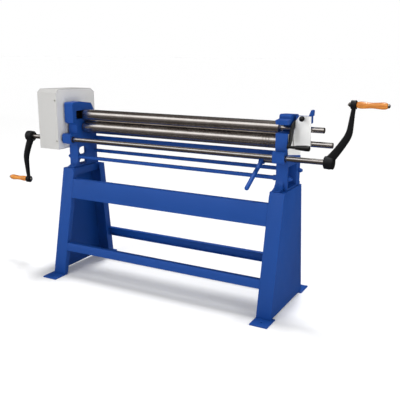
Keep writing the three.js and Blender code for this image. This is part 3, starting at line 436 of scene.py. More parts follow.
for rod, collar in (("front_tie_rod", True), ("rear_tie_rod", False)):
    low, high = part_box(rod)
    centre = axis_of(low, high)
    profile = [(low[0], ROD_SPIGOT_RADIUS), (-SHOULDER, ROD_SPIGOT_RADIUS), (-SHOULDER, ROD_RADIUS)]
    if collar:
        inner = SHOULDER - COLLAR_LENGTH
        profile += [(inner, ROD_RADIUS), (inner, COLLAR_RADIUS - COLLAR_EDGE),
                    (inner + COLLAR_EDGE, COLLAR_RADIUS), (SHOULDER, COLLAR_RADIUS)]
    else:
        profile += [(SHOULDER, ROD_RADIUS)]
    profile += [(SHOULDER, ROD_SPIGOT_RADIUS), (high[0], ROD_SPIGOT_RADIUS)]
    vertices, faces = turned(profile, centre, (1, 0, 0), ROD_SIDES)
    piece = new_piece(f"{rod}_turned", vertices, faces, stand_enamel, "stand", "blue_paint")
    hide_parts(rod)

for rod in ("front_rod", "rear_rod"):
    for side, outwards in (("left", -1), ("right", 1)):
        node = f"{rod}_{side}_cap_nut"
        low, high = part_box(node)
        foot = (outwards * (HEAD_OUTER + SEAT_GAP), (low[1] + high[1]) / 2, (low[2] + high[2]) / 2)
        steps = np.linspace(0, np.pi / 2 - DOME_TIP, 8)
        dome = [(NUT_LENGTH + (DOME_LENGTH - NUT_LENGTH) * math.sin(a),
                 DOME_RADIUS * math.cos(a) ** DOME_FULLNESS) for a in steps]
        axis = (outwards, 0, 0)
        nut = joined_shapes(
            turned([(0, NUT_WASHER_RADIUS - NUT_WASHER_EDGE), (NUT_WASHER_EDGE, NUT_WASHER_RADIUS),
                    (NUT_WASHER - NUT_WASHER_EDGE, NUT_WASHER_RADIUS),
                    (NUT_WASHER, NUT_WASHER_RADIUS - NUT_WASHER_EDGE)], foot, axis, ROD_SIDES),
            turned([(NUT_WASHER - NUT_OVERLAP, NUT_CORNER_RADIUS), (NUT_LENGTH, NUT_CORNER_RADIUS)],
                   foot, axis, HEXAGON),
            turned([(NUT_WASHER, DOME_RADIUS), *dome], foot, axis, ROD_SIDES))
        piece = bevelled(new_piece(f"{node}_hexagon", *nut, stand_enamel, "stand", "blue_paint"), NUT_ROUND)
        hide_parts(node)

rounded_copy("rear_tie_beam", "rear_tie_beam_bar", stand_enamel, "stand", FOLD_ROUND, 3)

# Drive shaft
# One bright drawn bar runs through both heads in front of the rolls, with a crank fixed on each end.

DRIVE_RADIUS = 0.0115
drawn_steel = ground_steel("bright_drawn_steel", "#bab5b1", "#7c746d", 0.25)
low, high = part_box("drive_shaft")
drive_centre = axis_of(low, high)
profile = [*shaft_end(low[0], 1, DRIVE_RADIUS), *shaft_end(high[0], -1, DRIVE_RADIUS)[::-1]]
piece = new_piece("drive_shaft_bar", *turned(profile, drive_centre, (1, 0, 0), ROD_SIDES), drawn_steel,
                  "drive", "turned_steel")
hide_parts("drive_shaft")

# Cranks
# Each crank is a malleable-iron casting in satin black: a round hub on the shaft, an arm that thins as it
# sweeps outwards, and an eye for the bolt of the wooden grip. A set screw in the hub holds it to the shaft.
# The left hub stands further out to clear the gear cover, so its arm leans less.

CRANK_HUB_INNER = {"left": 0.801, "right": 0.751}
CRANK_HUB_LENGTH = 0.038
CRANK_HUB_RADIUS = 0.026
CRANK_HUB_EDGE = 0.003
CRANK_RADIUS = 0.233
CRANK_LINES = {
    "left": [(0.019, 0.010), (0.038, 0.050), (0.055, 0.094), (0.060, 0.117), (0.060, 0.140), (0.057, 0.188),
             (0.054, 0.222)],
    "right": [(0.019, 0.010), (0.050, 0.050), (0.079, 0.094), (0.090, 0.117), (0.095, 0.140), (0.100, 0.188),
              (0.104, 0.222)]}
CRANK_WIDTHS = [0.036, 0.032, 0.029, 0.027, 0.023, 0.018, 0.015]
CRANK_THICKNESSES = [0.024, 0.024, 0.024, 0.023, 0.022, 0.019, 0.017]
CRANK_STEPS = 8
BAR_SIDES = 32
HUB_SIDES = 64
EYE_RADIUS = 0.017
EYE_HALF = 0.0105
EYE_EDGE = 0.0014
SECTION_SQUARENESS = 3.2
SET_SCREW_RADIUS = 0.006
SET_SCREW_FOOT = 0.0242
SET_SCREW_RISE = 0.0022
SET_SCREW_EDGE = 0.0008
SET_SCREW_SIDES = 24


def smooth_line(points, steps):
    """A Catmull-Rom curve through the points, `steps` places to each stretch; extra columns ride along."""
    points = np.array(points, float)
    padded = np.vstack([2 * points[0] - points[1], points, 2 * points[-1] - points[-2]])
    curve = []
    for a, b, c, d in zip(padded, padded[1:], padded[2:], padded[3:]):
        for t in np.linspace(0, 1, steps, endpoint=False):
            curve.append(0.5 * (2 * b + (c - a) * t + (2 * a - 5 * b + 4 * c - d) * t ** 2
                                + (3 * b - a - 3 * c + d) * t ** 3))
    return np.array([*curve, points[-1]])


def swept_bar(line, widths, thicknesses, broad, squareness, steps):
    """A bar swept along a plane line: at each place a rounded-square section |u|^n + |v|^n = 1, its width
    across the line in the line's own plane and its thickness along `broad`, the normal of that plane."""
    rows = smooth_line(np.column_stack([line, widths, thicknesses]), steps)
    path, width, thickness = rows[:, :3], rows[:, 3], rows[:, 4]
    along = np.gradient(path, axis=0)
    along /= np.linalg.norm(along, axis=1)[:, None]
    across = np.cross(np.array(broad, float), along)
    angle = np.linspace(0, 2 * np.pi, BAR_SIDES, endpoint=False)
    power = 2 / squareness
    u = np.sign(np.cos(angle)) * np.abs(np.cos(angle)) ** power / 2
    v = np.sign(np.sin(angle)) * np.abs(np.sin(angle)) ** power / 2
    rings = (path[:, None] + (width[:, None] * u)[:, :, None] * across[:, None]
             + (thickness[:, None] * v)[:, :, None] * np.array(broad, float))
    vertices = np.concatenate([rings.reshape(-1, 3), path[:1], path[-1:]])
    return vertices, ring_faces(len(path), BAR_SIDES)


def edged(start, end, radius, edge):
    """Profile of a plain round boss whose two rims are rounded."""
    steps = np.linspace(0, np.pi / 2, 5)
    rim = [(edge * (1 - math.cos(a)), radius - edge * (1 - math.sin(a))) for a in steps]
    return [*[(start + p, r) for p, r in rim], *[(end - p, r) for p, r in rim[::-1]]]


def facing_out(shape):
    """The same corners and faces, every separate closed skin with its normals outwards."""
    vertices, faces = shape
    mesh = bpy.data.meshes.new("skin")
    mesh.from_pydata(np.asarray(vertices).tolist(), [], [list(map(int, face)) for face in faces])
    skin = bmesh.new()
    skin.from_mesh(mesh)
    bmesh.ops.recalc_face_normals(skin, faces=skin.faces)
    turned_faces = [[corner.index for corner in face.verts] for face in skin.faces]
    skin.free()
    bpy.data.meshes.remove(mesh)
    return vertices, turned_faces


black_casting = cast_enamel("satin_black_on_cast_iron", "#17181b", "#0e0f11")
HEX_NUT_CORNER = 0.009
HEX_NUT_EDGE = 0.0006
HEX_NUT_LENGTH = 0.008
BOLT_CHAMFER = 0.0008
BOLT_RADIUS = 0.005
BOLT_TAIL = 0.004
BOLT_HEAD_RADIUS = 0.008
BOLT_HEAD_LENGTH = 0.008
BOLT_CROWN_FROM = 0.8
BOLT_CROWN_SHARE = 0.78
GRIP_GAP = 0.001
GRIP_LENGTH = 0.1155
turned_bolt_steel = ground_steel("bright_turned_bolt_steel", "#b3afaa", "#7d7670", 0.24)

for side, outwards, upwards in (("left", -1, -1), ("right", 1, 1)):
    def on_crank(out, up):
        """A place on this end's crank from its distances out from the hub's face and up the arm."""
        return (outwards * (CRANK_HUB_INNER[side] + out), drive_centre[1], drive_centre[2] + upwards * up)

    axis = (outwards, 0, 0)
    line = [on_crank(out, up) for out, up in CRANK_LINES[side]]
    eye_at = CRANK_LINES[side][-1][0]
    arm = swept_bar(line, CRANK_WIDTHS, CRANK_THICKNESSES, (0, 1, 0), SECTION_SQUARENESS, CRANK_STEPS)
    hub = turned(edged(0, CRANK_HUB_LENGTH, CRANK_HUB_RADIUS, CRANK_HUB_EDGE), on_crank(0, 0), axis,
                 HUB_SIDES)
    eye = turned(edged(-EYE_HALF, EYE_HALF, EYE_RADIUS, EYE_EDGE), on_crank(eye_at, CRANK_RADIUS), axis,
                 ROD_SIDES)
    set_screw = turned(edged(0, SET_SCREW_RISE, SET_SCREW_RADIUS, SET_SCREW_EDGE),
                       on_crank(CRANK_HUB_LENGTH / 2, -SET_SCREW_FOOT), (0, 0, -upwards),
                       SET_SCREW_SIDES)
    piece = new_piece(f"{side}_crank_casting", *facing_out(joined_shapes(arm, hub, eye, set_screw)),
                      black_casting, "drive", "black_paint")
    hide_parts(f"{side}_crank_arm")

    nut_to = eye_at - EYE_HALF - SEAT_GAP
    nut_from = nut_to - HEX_NUT_LENGTH
    head_from = eye_at + EYE_HALF + GRIP_LENGTH + 2 * GRIP_GAP
    bolt_axis = on_crank(0, CRANK_RADIUS)
    shank = turned([(nut_from - BOLT_TAIL, BOLT_RADIUS - BOLT_CHAMFER),
                    (nut_from - BOLT_TAIL + BOLT_CHAMFER, BOLT_RADIUS),
                    (head_from, BOLT_RADIUS), (head_from, BOLT_HEAD_RADIUS - BOLT_CHAMFER),
                    (head_from + BOLT_CHAMFER, BOLT_HEAD_RADIUS),
                    (head_from + BOLT_HEAD_LENGTH / 2, BOLT_HEAD_RADIUS),
                    (head_from + BOLT_CROWN_FROM * BOLT_HEAD_LENGTH, BOLT_CROWN_SHARE * BOLT_HEAD_RADIUS),
                    (head_from + BOLT_HEAD_LENGTH, BOLT_HEAD_RADIUS / 2)], bolt_axis, axis, ROD_SIDES)
    nut = turned([(nut_from, HEX_NUT_CORNER - HEX_NUT_EDGE), (nut_from + BOLT_CHAMFER, HEX_NUT_CORNER),
                  (nut_to - BOLT_CHAMFER, HEX_NUT_CORNER), (nut_to, HEX_NUT_CORNER - HEX_NUT_EDGE)],
                 bolt_axis, axis, HEXAGON)
    piece = new_piece(f"{side}_grip_bolt_turned", *facing_out(joined_shapes(shank, nut)), turned_bolt_steel,
                      "drive", "turned_steel")
    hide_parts(f"{side}_grip_bolt")

# Grips
# Turned from beech, stained a warm orange-brown and varnished: two long swells with a waist between them.
# Each grip turns freely on its bolt.

GRIP_RADIUS = 0.0135
GRIP_SHARES = [(0.0, 0.76), (0.01, 0.80), (0.04, 0.87), (0.12, 0.99), (0.18, 1.0), (0.26, 0.965),
               (0.36, 0.87), (0.43, 0.82), (0.5, 0.80), (0.57, 0.82), (0.66, 0.875), (0.76, 0.95),
               (0.84, 0.995), (0.88, 0.985), (0.94, 0.90), (0.98, 0.77), (1.0, 0.66)]
GRAIN_PITCH = 0.0021
GRAIN_STRENGTH = 0.15
GRAIN_DEPTH = 0.0003
FLECK_COLOUR = "#6b3411"
GRAIN_ALONG = (0.05, 1.0, 1.0)


def varnished_wood(name, light, dark):
    """Stained beech: growth rings seen along the turning, short dark flecks, and a clear varnish."""
    material, tree, shader, place = new_material(name)
    stretch = add(tree, "ShaderNodeMapping", {"Scale": GRAIN_ALONG}, {"Vector": place})
    rings = add(tree, "ShaderNodeTexNoise", {"Scale": 1 / (3 * GRAIN_PITCH), "Detail": 5.0, "Roughness": 0.6,
                                             "Distortion": 0.6}, {"Vector": stretch.outputs["Vector"]})
    bands = add(tree, "ShaderNodeMapRange", {"From Min": 0.32, "From Max": 0.68},
                {"Value": rings.outputs["Fac"]})
    flecks = add(tree, "ShaderNodeTexNoise", {"Scale": 1 / (0.4 * GRAIN_PITCH), "Detail": 2.0},
                 {"Vector": stretch.outputs["Vector"]})
    marks = add(tree, "ShaderNodeMapRange", {"From Min": 0.58, "From Max": 0.74, "To Max": 0.5},
                {"Value": flecks.outputs["Fac"]})
    wood = add(tree, "ShaderNodeMix", {"A": linear(light), "B": linear(dark)},
               {"Factor": bands.outputs["Result"]}, data_type="RGBA")
    flecked = add(tree, "ShaderNodeMix", {"B": linear(FLECK_COLOUR)},
                  {"Factor": marks.outputs["Result"], "A": wood.outputs["Result"]}, data_type="RGBA")
    tree.links.new(flecked.outputs["Result"], shader.inputs["Base Color"])
    bump = add(tree, "ShaderNodeBump", {"Strength": GRAIN_STRENGTH, "Distance": GRAIN_DEPTH},
               {"Height": rings.outputs["Fac"]})
    tree.links.new(bump.outputs["Normal"], shader.inputs["Normal"])
    shader.inputs["Roughness"].default_value = 0.42
    shader.inputs["Coat Weight"].default_value = 0.6
    shader.inputs["Coat Roughness"].default_value = 0.16
    return material


beech = varnished_wood("varnished_stained_beech", "#ec9c3c", "#b96212")
for side, outwards, upwards in (("left", -1, -1), ("right", 1, 1)):
    profile = smooth_line([(place * GRIP_LENGTH, share * GRIP_RADIUS) for place, share in GRIP_SHARES], 5)
    grip_from = CRANK_HUB_INNER[side] + CRANK_LINES[side][-1][0] + EYE_HALF + GRIP_GAP
    start = (outwards * grip_from, drive_centre[1], drive_centre[2] + upwards * CRANK_RADIUS)
    piece = new_piece(f"{side}_grip_turned", *turned(profile, start, (outwards, 0, 0), HUB_SIDES), beech,
                      f"{side}_grip", "wood", 60.0)
    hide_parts(f"{side}_crank_grip")

# Gear cover
# A box of 1.5 mm sheet steel, folded, spot-welded and powder-coated light grey, over a back plate on four
# spacers. Raised-head screws along its rim hold the box to flanges of the back plate.

POWDER_SIZE = 0.0016
POWDER_TEXTURE = 0.16
POWDER_SHEEN = 0.12
COVER_EDGE = 0.0007
CUT_BURR = 0.0004
SCREW_HEAD_RADIUS = 0.0045
SCREW_HEAD_RISE = 0.0019
SCREW_SLOT = 0.0011
SCREW_RECESS = 0.0010
SCREW_RECESS_SHARE = 0.62
SCREW_FOOT = 0.0004
SCREW_SIDES = 48
SCREW_RINGS = 14
SCREW_SINK = 0.0001
SCREW_HEIGHTS = (0.668, 0.868)
SCREW_DEPTHS = (-0.03, 0.14)
COVER_INSET = 0.0105


def powder_coat(name, colour, shade, roughness):
    """Powder coat: an even light colour, a fine leathery bump and a barely darker drift."""
    return enamel(name, colour, shade, roughness, POWDER_TEXTURE, POWDER_SIZE, POWDER_SHEEN)


cover_grey = powder_coat("light_grey_powder_coat_on_sheet", "#c8c7c5", "#c1c0be", 0.50)
# The back plate's grey is the cover's grey drawn paler: painted light, so the cover's side facing +X renders
# brighter than its front.
back_grey_painted_light = powder_coat("grey_powder_coat_painted_lighter_on_sheet", "#eeedeb", "#e7e6e4", 0.50)
rounded_copy("gear_cover", "gear_cover_box", cover_grey, "stand", COVER_EDGE, 3)
rounded_copy("gear_cover_back_plate", "gear_cover_back_sheet", back_grey_painted_light, "stand", CUT_BURR, 1)


def cross_screw(foot, axis, turn):
    """A raised countersunk screw with a cross recess: a dome whose surface dips along two slots. The dome
    is h (1 - (r/R)^2), less the depth of the recess where |u| or |v| is under half the slot."""
    along, across, up = square_to(axis)
    radii = np.linspace(0, 1, SCREW_RINGS + 1)[1:] ** 0.8 * SCREW_HEAD_RADIUS
    angle = np.linspace(0, 2 * np.pi, SCREW_SIDES, endpoint=False)
    r, a = np.meshgrid(radii, angle, indexing="ij")
    u, v = r * np.cos(a), r * np.sin(a)
    near = np.minimum(np.abs(u * math.cos(turn) + v * math.sin(turn)),
                      np.abs(v * math.cos(turn) - u * math.sin(turn)))
    recess = (near < SCREW_SLOT / 2) & (r < SCREW_RECESS_SHARE * SCREW_HEAD_RADIUS)
    rise = SCREW_HEAD_RISE * (1 - (r / SCREW_HEAD_RADIUS) ** 2) - SCREW_RECESS * recess
    points = np.array(foot) + u[..., None] * across + v[..., None] * up + rise[..., None] * along
    middle = np.array(foot) + (SCREW_HEAD_RISE - SCREW_RECESS) * along
    under = np.array(foot) - SCREW_FOOT * along
    vertices = np.vstack([points.reshape(-1, 3), middle, under])
    return facing_out((vertices, ring_faces(len(radii), SCREW_SIDES)))


zinc_steel = machined("zinc_plated_steel", "#b9b7b0", "#8f8d86", 0.30, TOOL_MARK, (1.0, 1.0, 1.0))
cover_low, cover_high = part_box("gear_cover")
screw_x = cover_high[0] - COVER_INSET
screws = [cross_screw((screw_x, cover_low[1] - SCREW_SINK, z), (0, -1, 0), 0.4 + z) for z in SCREW_HEIGHTS]
screws += [cross_screw((screw_x, cover_high[1] + SCREW_SINK, z), (0, 1, 0), 0.9 + z) for z in SCREW_HEIGHTS]
screws += [cross_screw((screw_x, y, cover_low[2] - SCREW_SINK), (0, 0, -1), 0.2 + y) for y in SCREW_DEPTHS]
piece = new_piece("gear_cover_screws", *joined_shapes(*screws), zinc_steel, "stand", "grey_paint", 35.0)

# White guards at the right end
# Two guards of 1.5 mm sheet in white powder coat. One is fixed flat on the head, and the other, folded along
# its foot and right edge, rides on the bearing carrier in front of the journals.

GUARD_EDGE = 0.0006
guard_white = powder_coat("white_powder_coat_on_sheet", "#fcfcfb", "#f7f7f5", 0.44)
rounded_copy("right_side_guard", "right_side_guard_sheet", guard_white, "stand", CUT_BURR, 2)
rounded_copy("front_guard", "front_guard_sheet", guard_white, "upper_carriage",
             GUARD_EDGE, 2)

# Bearing carrier of the upper roll
# A small iron casting, painted blue, that holds the upper roll's journal and swings out with it. Its ear
# stands up at the outer side, and the latch lever turns on a pin in its inner face.

CARRIER_ROUND = 0.0016
PIN_CHAMFER = 0.0007
PIN_SIDES = 32
rounded_copy("upper_bearing_carrier", "upper_bearing_carrier_casting", casting_enamel, "upper_carriage",
             CARRIER_ROUND, 3)
low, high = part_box("latch_pivot_pin")
pin_axis = axis_of(low, high)
pin_radius = (high[1] - low[1]) / 2
profile = [(low[0], pin_radius - PIN_CHAMFER), (low[0] + PIN_CHAMFER, pin_radius),
           (high[0] - PIN_CHAMFER, pin_radius), (high[0], pin_radius - PIN_CHAMFER)]
piece = new_piece("latch_pin_turned", *facing_out(turned(profile, pin_axis, (1, 0, 0), PIN_SIDES)),
                  turned_bolt_steel, "upper_carriage", "turned_steel")
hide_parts("latch_pivot_pin")

# Latch lever and its grip
# A flame-cut steel plate in satin black, curved like a blade, with a round rod at its foot that carries a
# tapered grip of moulded black plastic.

ROLL_PLANE_Y = 0.03445
LATCH_X = 0.594
LATCH_THICKNESS = 0.006
LATCH_LINE = [(LATCH_X, y + ROLL_PLANE_Y, z)
              for y, z in ((0.002, 0.818), (-0.022, 0.812), (-0.043, 0.797), (-0.054, 0.776),
                           (-0.060, 0.752), (-0.072, 0.734), (-0.090, 0.725))]
LATCH_WIDTHS = [0.022, 0.026, 0.032, 0.035, 0.035, 0.027, 0.017]
LATCH_ROD_RADIUS = 0.006
LATCH_BOSS_RADIUS = 0.011
LATCH_FOOT_RADIUS = 0.0085
LATCH_ROD_IN_GRIP = 0.012
LATCH_EDGE = 0.0006
LATCH_SQUARENESS = 7.0
LATCH_SIDES = 40
LATCH_STEPS = 6

satin_black = enamel("satin_black_enamel_on_steel", "#141517", "#0d0e0f", ENAMEL_ROUGHNESS, ORANGE_PEEL,
                     ORANGE_PEEL_SIZE, 0.0)
lever = swept_bar(LATCH_LINE, LATCH_WIDTHS, [LATCH_THICKNESS] * len(LATCH_LINE), (1, 0, 0),
                  LATCH_SQUARENESS, LATCH_STEPS)
half = LATCH_THICKNESS / 2
boss = turned(edged(-half, half, LATCH_BOSS_RADIUS, LATCH_EDGE), LATCH_LINE[0], (1, 0, 0), LATCH_SIDES)
foot = turned(edged(-half, half, LATCH_FOOT_RADIUS, LATCH_EDGE), LATCH_LINE[-1], (1, 0, 0), LATCH_SIDES)
grip_low, grip_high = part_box("latch_grip")
rod_start = (0.0, LATCH_LINE[-1][1], LATCH_LINE[-1][2])
rod = turned([(LATCH_X - half, LATCH_ROD_RADIUS), (grip_high[0] - LATCH_ROD_IN_GRIP, LATCH_ROD_RADIUS)],
             rod_start, (1, 0, 0), PIN_SIDES)
piece = new_piece("latch_lever_bent", *facing_out(joined_shapes(lever, boss, foot, rod)), satin_black,
                  "latch", "black_paint")
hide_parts("latch_lever")

MOULD_GRAIN = 0.06
MOULD_GRAIN_SIZE = 0.0008
MOULD_GRAIN_DEPTH = 0.0002
HANDLED_SIZE = 0.012


def moulded_plastic(name, colour, roughness):
    """Moulded black plastic: nearly even colour with the faintest grain and finger-worn gloss."""
    material, tree, shader, place = new_material(name)
    grain = add(tree, "ShaderNodeTexNoise", {"Scale": 1 / MOULD_GRAIN_SIZE, "Detail": 2.0},
                {"Vector": place})
    bump = add(tree, "ShaderNodeBump", {"Strength": MOULD_GRAIN, "Distance": MOULD_GRAIN_DEPTH},
               {"Height": grain.outputs["Fac"]})
    tree.links.new(bump.outputs["Normal"], shader.inputs["Normal"])
    handled = add(tree, "ShaderNodeTexNoise", {"Scale": 1 / HANDLED_SIZE, "Detail": 3.0}, {"Vector": place})
    rough = add(tree, "ShaderNodeMapRange", {"To Min": roughness - 0.07, "To Max": roughness + 0.10},
                {"Value": handled.outputs["Fac"]})
    tree.links.new(rough.outputs["Result"], shader.inputs["Roughness"])
    tint = add(tree, "ShaderNodeMix", {"A": linear(colour), "B": linear("#161617")},
               {"Factor": handled.outputs["Fac"]}, data_type="RGBA")
    tree.links.new(tint.outputs["Result"], shader.inputs["Base Color"])
    return material


black_phenolic = moulded_plastic("black_phenolic", "#0d0d0e", 0.30)
LATCH_GRIP_RADIUS = 0.012
LATCH_GRIP_SHARES = [(0.0, 0.60), (0.02, 0.68), (0.10, 0.74), (0.40, 0.88), (0.70, 0.985), (0.85, 0.995),
                     (0.93, 0.95), (0.98, 0.82), (1.0, 0.62)]
length = grip_high[0] - grip_low[0]
profile = smooth_line([(grip_low[0] + place * length, share * LATCH_GRIP_RADIUS)
                       for place, share in LATCH_GRIP_SHARES], 5)
piece = new_piece("latch_grip_moulded", *facing_out(turned(profile, rod_start, (1, 0, 0), ROD_SIDES)),
                  black_phenolic, "latch", "black_plastic", 60.0)
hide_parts("latch_grip")

# Ball knob
# A moulded black ball, with the small flat that faces its stem, screwed onto the steel plunger.

KNOB_RADIUS = 0.0115
KNOB_STEM_RADIUS = 0.004
KNOB_STEM_EDGE = 0.0006
KNOB_FLAT = 0.0055
KNOB_POLE = 0.04
KNOB_SIDES = 56
low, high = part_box("ball_knob_plunger")
knob_middle = ((low[0] + high[0]) / 2, low[1] + KNOB_RADIUS, (low[2] + high[2]) / 2)
start = math.asin(KNOB_FLAT / KNOB_RADIUS)
ball = [(-KNOB_RADIUS * math.cos(a), KNOB_RADIUS * math.sin(a))
        for a in np.linspace(KNOB_POLE, math.pi - start, KNOB_SIDES // 2)]
stem = high[1] - knob_middle[1]
knob = turned([*ball, (KNOB_RADIUS * math.cos(start), KNOB_STEM_RADIUS),
               (stem - KNOB_STEM_EDGE, KNOB_STEM_RADIUS), (stem, KNOB_STEM_RADIUS - KNOB_STEM_EDGE)],
              knob_middle, (0, 1, 0), KNOB_SIDES)
piece = new_piece("ball_knob_moulded", *facing_out(knob), black_phenolic, "knob", "black_plastic", 50.0)
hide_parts("ball_knob_plunger")

# Adjusting screws
# Under each bearing block of the bending roll stands a steel screw with a rolled thread and a star wheel
# that the hand turns through the window of the head.

GUIDE_LEAN = math.radians(10)
GUIDE_UP = np.array([0.0, -math.sin(GUIDE_LEAN), math.cos(GUIDE_LEAN)])
SCREW_RADIUS = 0.006
SCREW_TOP = -0.0163
THREAD_PITCH = 0.00175
THREAD_DEPTH = 0.0009
THREAD_RUNOUT = 0.0006
THREAD_SIDES = 32
THREAD_ROWS = 8
BENDING_ROLL_Y = 0.066 + ROLL_PLANE_Y
BENDING_ROLL_Z = 0.722
WHEEL_DEPTH = 0.098
WHEEL_HALF = 0.0055
WHEEL_RADIUS = 0.015
WHEEL_EDGE = 0.0014
WHEEL_LOBES = 8
WHEEL_HOLLOW = 0.0016
WHEEL_SIDES = 96


def threaded_bar(foot, axis, length):
    """A single-start thread: radius R - depth * |2 frac(z / pitch - angle / turn) - 1| along the bar."""
    along, across, up = square_to(axis)
    rows = int(length / THREAD_PITCH * THREAD_ROWS)
    z, a = np.meshgrid(np.linspace(0, length, rows),
                       np.linspace(0, 2 * np.pi, THREAD_SIDES, endpoint=False), indexing="ij")
    phase = np.mod(z / THREAD_PITCH - a / (2 * np.pi), 1.0)
    runout = np.clip(np.minimum(z, length - z) / THREAD_PITCH, 0, 1)
    radius = SCREW_RADIUS - THREAD_DEPTH * np.abs(2 * phase - 1) - THREAD_RUNOUT * (1 - runout)
    points = (np.array(foot) + z[..., None] * along + (radius * np.cos(a))[..., None] * across
              + (radius * np.sin(a))[..., None] * up)
    ends = np.array(foot) + np.array([[0.0], [length]]) * along
    return np.vstack([points.reshape(-1, 3), ends]), ring_faces(rows, THREAD_SIDES)


def star_wheel(middle, axis):
    """A wheel whose rim is scooped between its lobes: radius R - hollow * (1 - cos(lobes * angle)) / 2."""
    vertices, faces = turned(edged(-WHEEL_HALF, WHEEL_HALF, 1.0, WHEEL_EDGE), (0, 0, 0), (0, 0, 1),
                             WHEEL_SIDES)
    angle = np.arctan2(vertices[:, 1], vertices[:, 0])
    share = np.hypot(vertices[:, 0], vertices[:, 1])
    rim = WHEEL_RADIUS - WHEEL_HOLLOW * (1 - np.cos(WHEEL_LOBES * angle)) / 2
    radius = np.where(share > 0.5, rim - (1.0 - share), share * rim)
    along, across, up = square_to(axis)
    placed = (np.array(middle) + vertices[:, 2:3] * along + (radius * np.cos(angle))[:, None] * across
              + (radius * np.sin(angle))[:, None] * up)
    return placed, faces


for side, outwards in (("left", -1), ("right", 1)):
    rest = np.array([outwards * (HEAD_INNER + HEAD_OUTER) / 2, BENDING_ROLL_Y, BENDING_ROLL_Z])
    foot = rest - (WHEEL_DEPTH - WHEEL_HALF) * GUIDE_UP
    screw = threaded_bar(foot, GUIDE_UP, WHEEL_DEPTH - WHEEL_HALF + SCREW_TOP)
    wheel = star_wheel(rest - WHEEL_DEPTH * GUIDE_UP, GUIDE_UP)
    piece = new_piece(f"{side}_adjusting_screw_rolled", *facing_out(joined_shapes(screw, wheel)),
                      oiled_steel, f"{side}_screw", "dark_steel", 35.0)
    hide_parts(f"{side}_adjusting_screw")

# Cross shaft and hand lever
# A short steel shaft turns in a socket of the right head. The blue lever on its inner end is a round bar
# welded into a hub, and its free end is rounded for the hand.

LEVER_RADIUS = 0.0095
LEVER_HUB_RADIUS = 0.017
LEVER_HUB_LENGTH = 0.020
LEVER_HUB_EDGE = 0.0018
LEVER_IN_HUB = 0.004
WELD_RADIUS = 0.0028
WELD_SINK = 0.0015
WELD_REACH_SHARE = 1.5
LEVER_END = (-0.190 + ROLL_PLANE_Y, 0.557)
LEVER_TIP = 0.05

low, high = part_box("cross_shaft")
shaft_middle = axis_of(low, high)
shaft_radius = (high[2] - low[2]) / 2
profile = [*shaft_end(low[0], 1, shaft_radius), *shaft_end(high[0], -1, shaft_radius)[::-1]]
piece = new_piece("cross_shaft_bar", *facing_out(turned(profile, shaft_middle, (1, 0, 0), ROD_SIDES)),
                  drawn_steel, "hand_lever", "dark_steel")
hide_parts("cross_shaft")

hub_start = (low[0], shaft_middle[1], shaft_middle[2])
lever_start = np.array([low[0] + LEVER_HUB_LENGTH / 2, shaft_middle[1], shaft_middle[2]])
reach = np.array([lever_start[0], *LEVER_END]) - lever_start
lever_length = float(np.linalg.norm(reach)) + LEVER_RADIUS
hub = turned(edged(0, LEVER_HUB_LENGTH, LEVER_HUB_RADIUS, LEVER_HUB_EDGE), hub_start, (1, 0, 0),
             HUB_SIDES)
cap = [(lever_length - LEVER_RADIUS * (1 - math.sin(a)), LEVER_RADIUS * math.cos(a))
       for a in np.linspace(0, np.pi / 2 - LEVER_TIP, 10)]
weld_from = LEVER_HUB_RADIUS - WELD_SINK
weld = [(weld_from + WELD_RADIUS * (1 - math.cos(a)) * WELD_REACH_SHARE,
         LEVER_RADIUS + WELD_RADIUS * math.cos(a)) for a in np.linspace(0, np.pi / 2, 7)]
bar = turned([(LEVER_IN_HUB, LEVER_RADIUS), (weld_from, LEVER_RADIUS), *weld, *cap], lever_start, reach,
             ROD_SIDES)
piece = new_piece("hand_lever_welded", *facing_out(joined_shapes(hub, bar)), stand_enamel, "hand_lever",
                  "blue_paint")
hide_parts("hand_lever")

# Camera
# The photograph's own view: from the front and right, looking slightly down.

CAMERA_PLACE = (1.44755, -2.37382, 1.11923)
CAMERA_AZIMUTH = math.radians(28.60)
CAMERA_PITCH = math.radians(14.20)
CAMERA_LENS = 54.12
SENSOR_WIDTH = 36.0

camera = bpy.data.objects.new("camera", bpy.data.cameras.new("camera"))
camera.data.lens = CAMERA_LENS
camera.data.sensor_width = SENSOR_WIDTH
camera.location = CAMERA_PLACE
camera.rotation_euler = (math.pi / 2 - CAMERA_PITCH, 0.0, CAMERA_AZIMUTH)
bpy.context.collection.objects.link(camera)
bpy.context.scene.camera = camera

# Floor and light
# A plain white floor keeps the machine's shadow, which a high soft sun throws just in front of the stand.
# Large soft lamps stand in front and at the right. Boards and a soft box, seen in reflections only, give the
# bare steel its dark and bright bands.

FLOOR_REACH = 60.0
FLOOR_WHITE = "#f4f4f4"
FLOOR_ROUGHNESS = 0.9
FLOOR_SPECULAR = 0.1
FLOOR_GLOW = 0.09

floor_mesh = bpy.data.meshes.new("floor")
floor_mesh.from_pydata([(-FLOOR_REACH, -FLOOR_REACH, 0), (FLOOR_REACH, -FLOOR_REACH, 0),
                        (FLOOR_REACH, FLOOR_REACH, 0), (-FLOOR_REACH, FLOOR_REACH, 0)], [], [(0, 1, 2, 3)])
floor = bpy.data.objects.new("floor", floor_mesh)
bpy.context.collection.objects.link(floor)
floor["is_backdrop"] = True
material, tree, shader, place = new_material("white_floor")
shader.inputs["Base Color"].default_value = linear(FLOOR_WHITE)
shader.inputs["Roughness"].default_value = FLOOR_ROUGHNESS
shader.inputs["Specular IOR Level"].default_value = FLOOR_SPECULAR
seen = add(tree, "ShaderNodeLightPath")
glow = add(tree, "ShaderNodeMath", {0: FLOOR_GLOW}, {1: seen.outputs["Is Camera Ray"]}, operation="MULTIPLY")
shader.inputs["Emission Color"].default_value = linear("#ffffff")
tree.links.new(glow.outputs["Value"], shader.inputs["Emission Strength"])
floor_mesh.materials.append(material)

WORLD_STRENGTH = 0.32

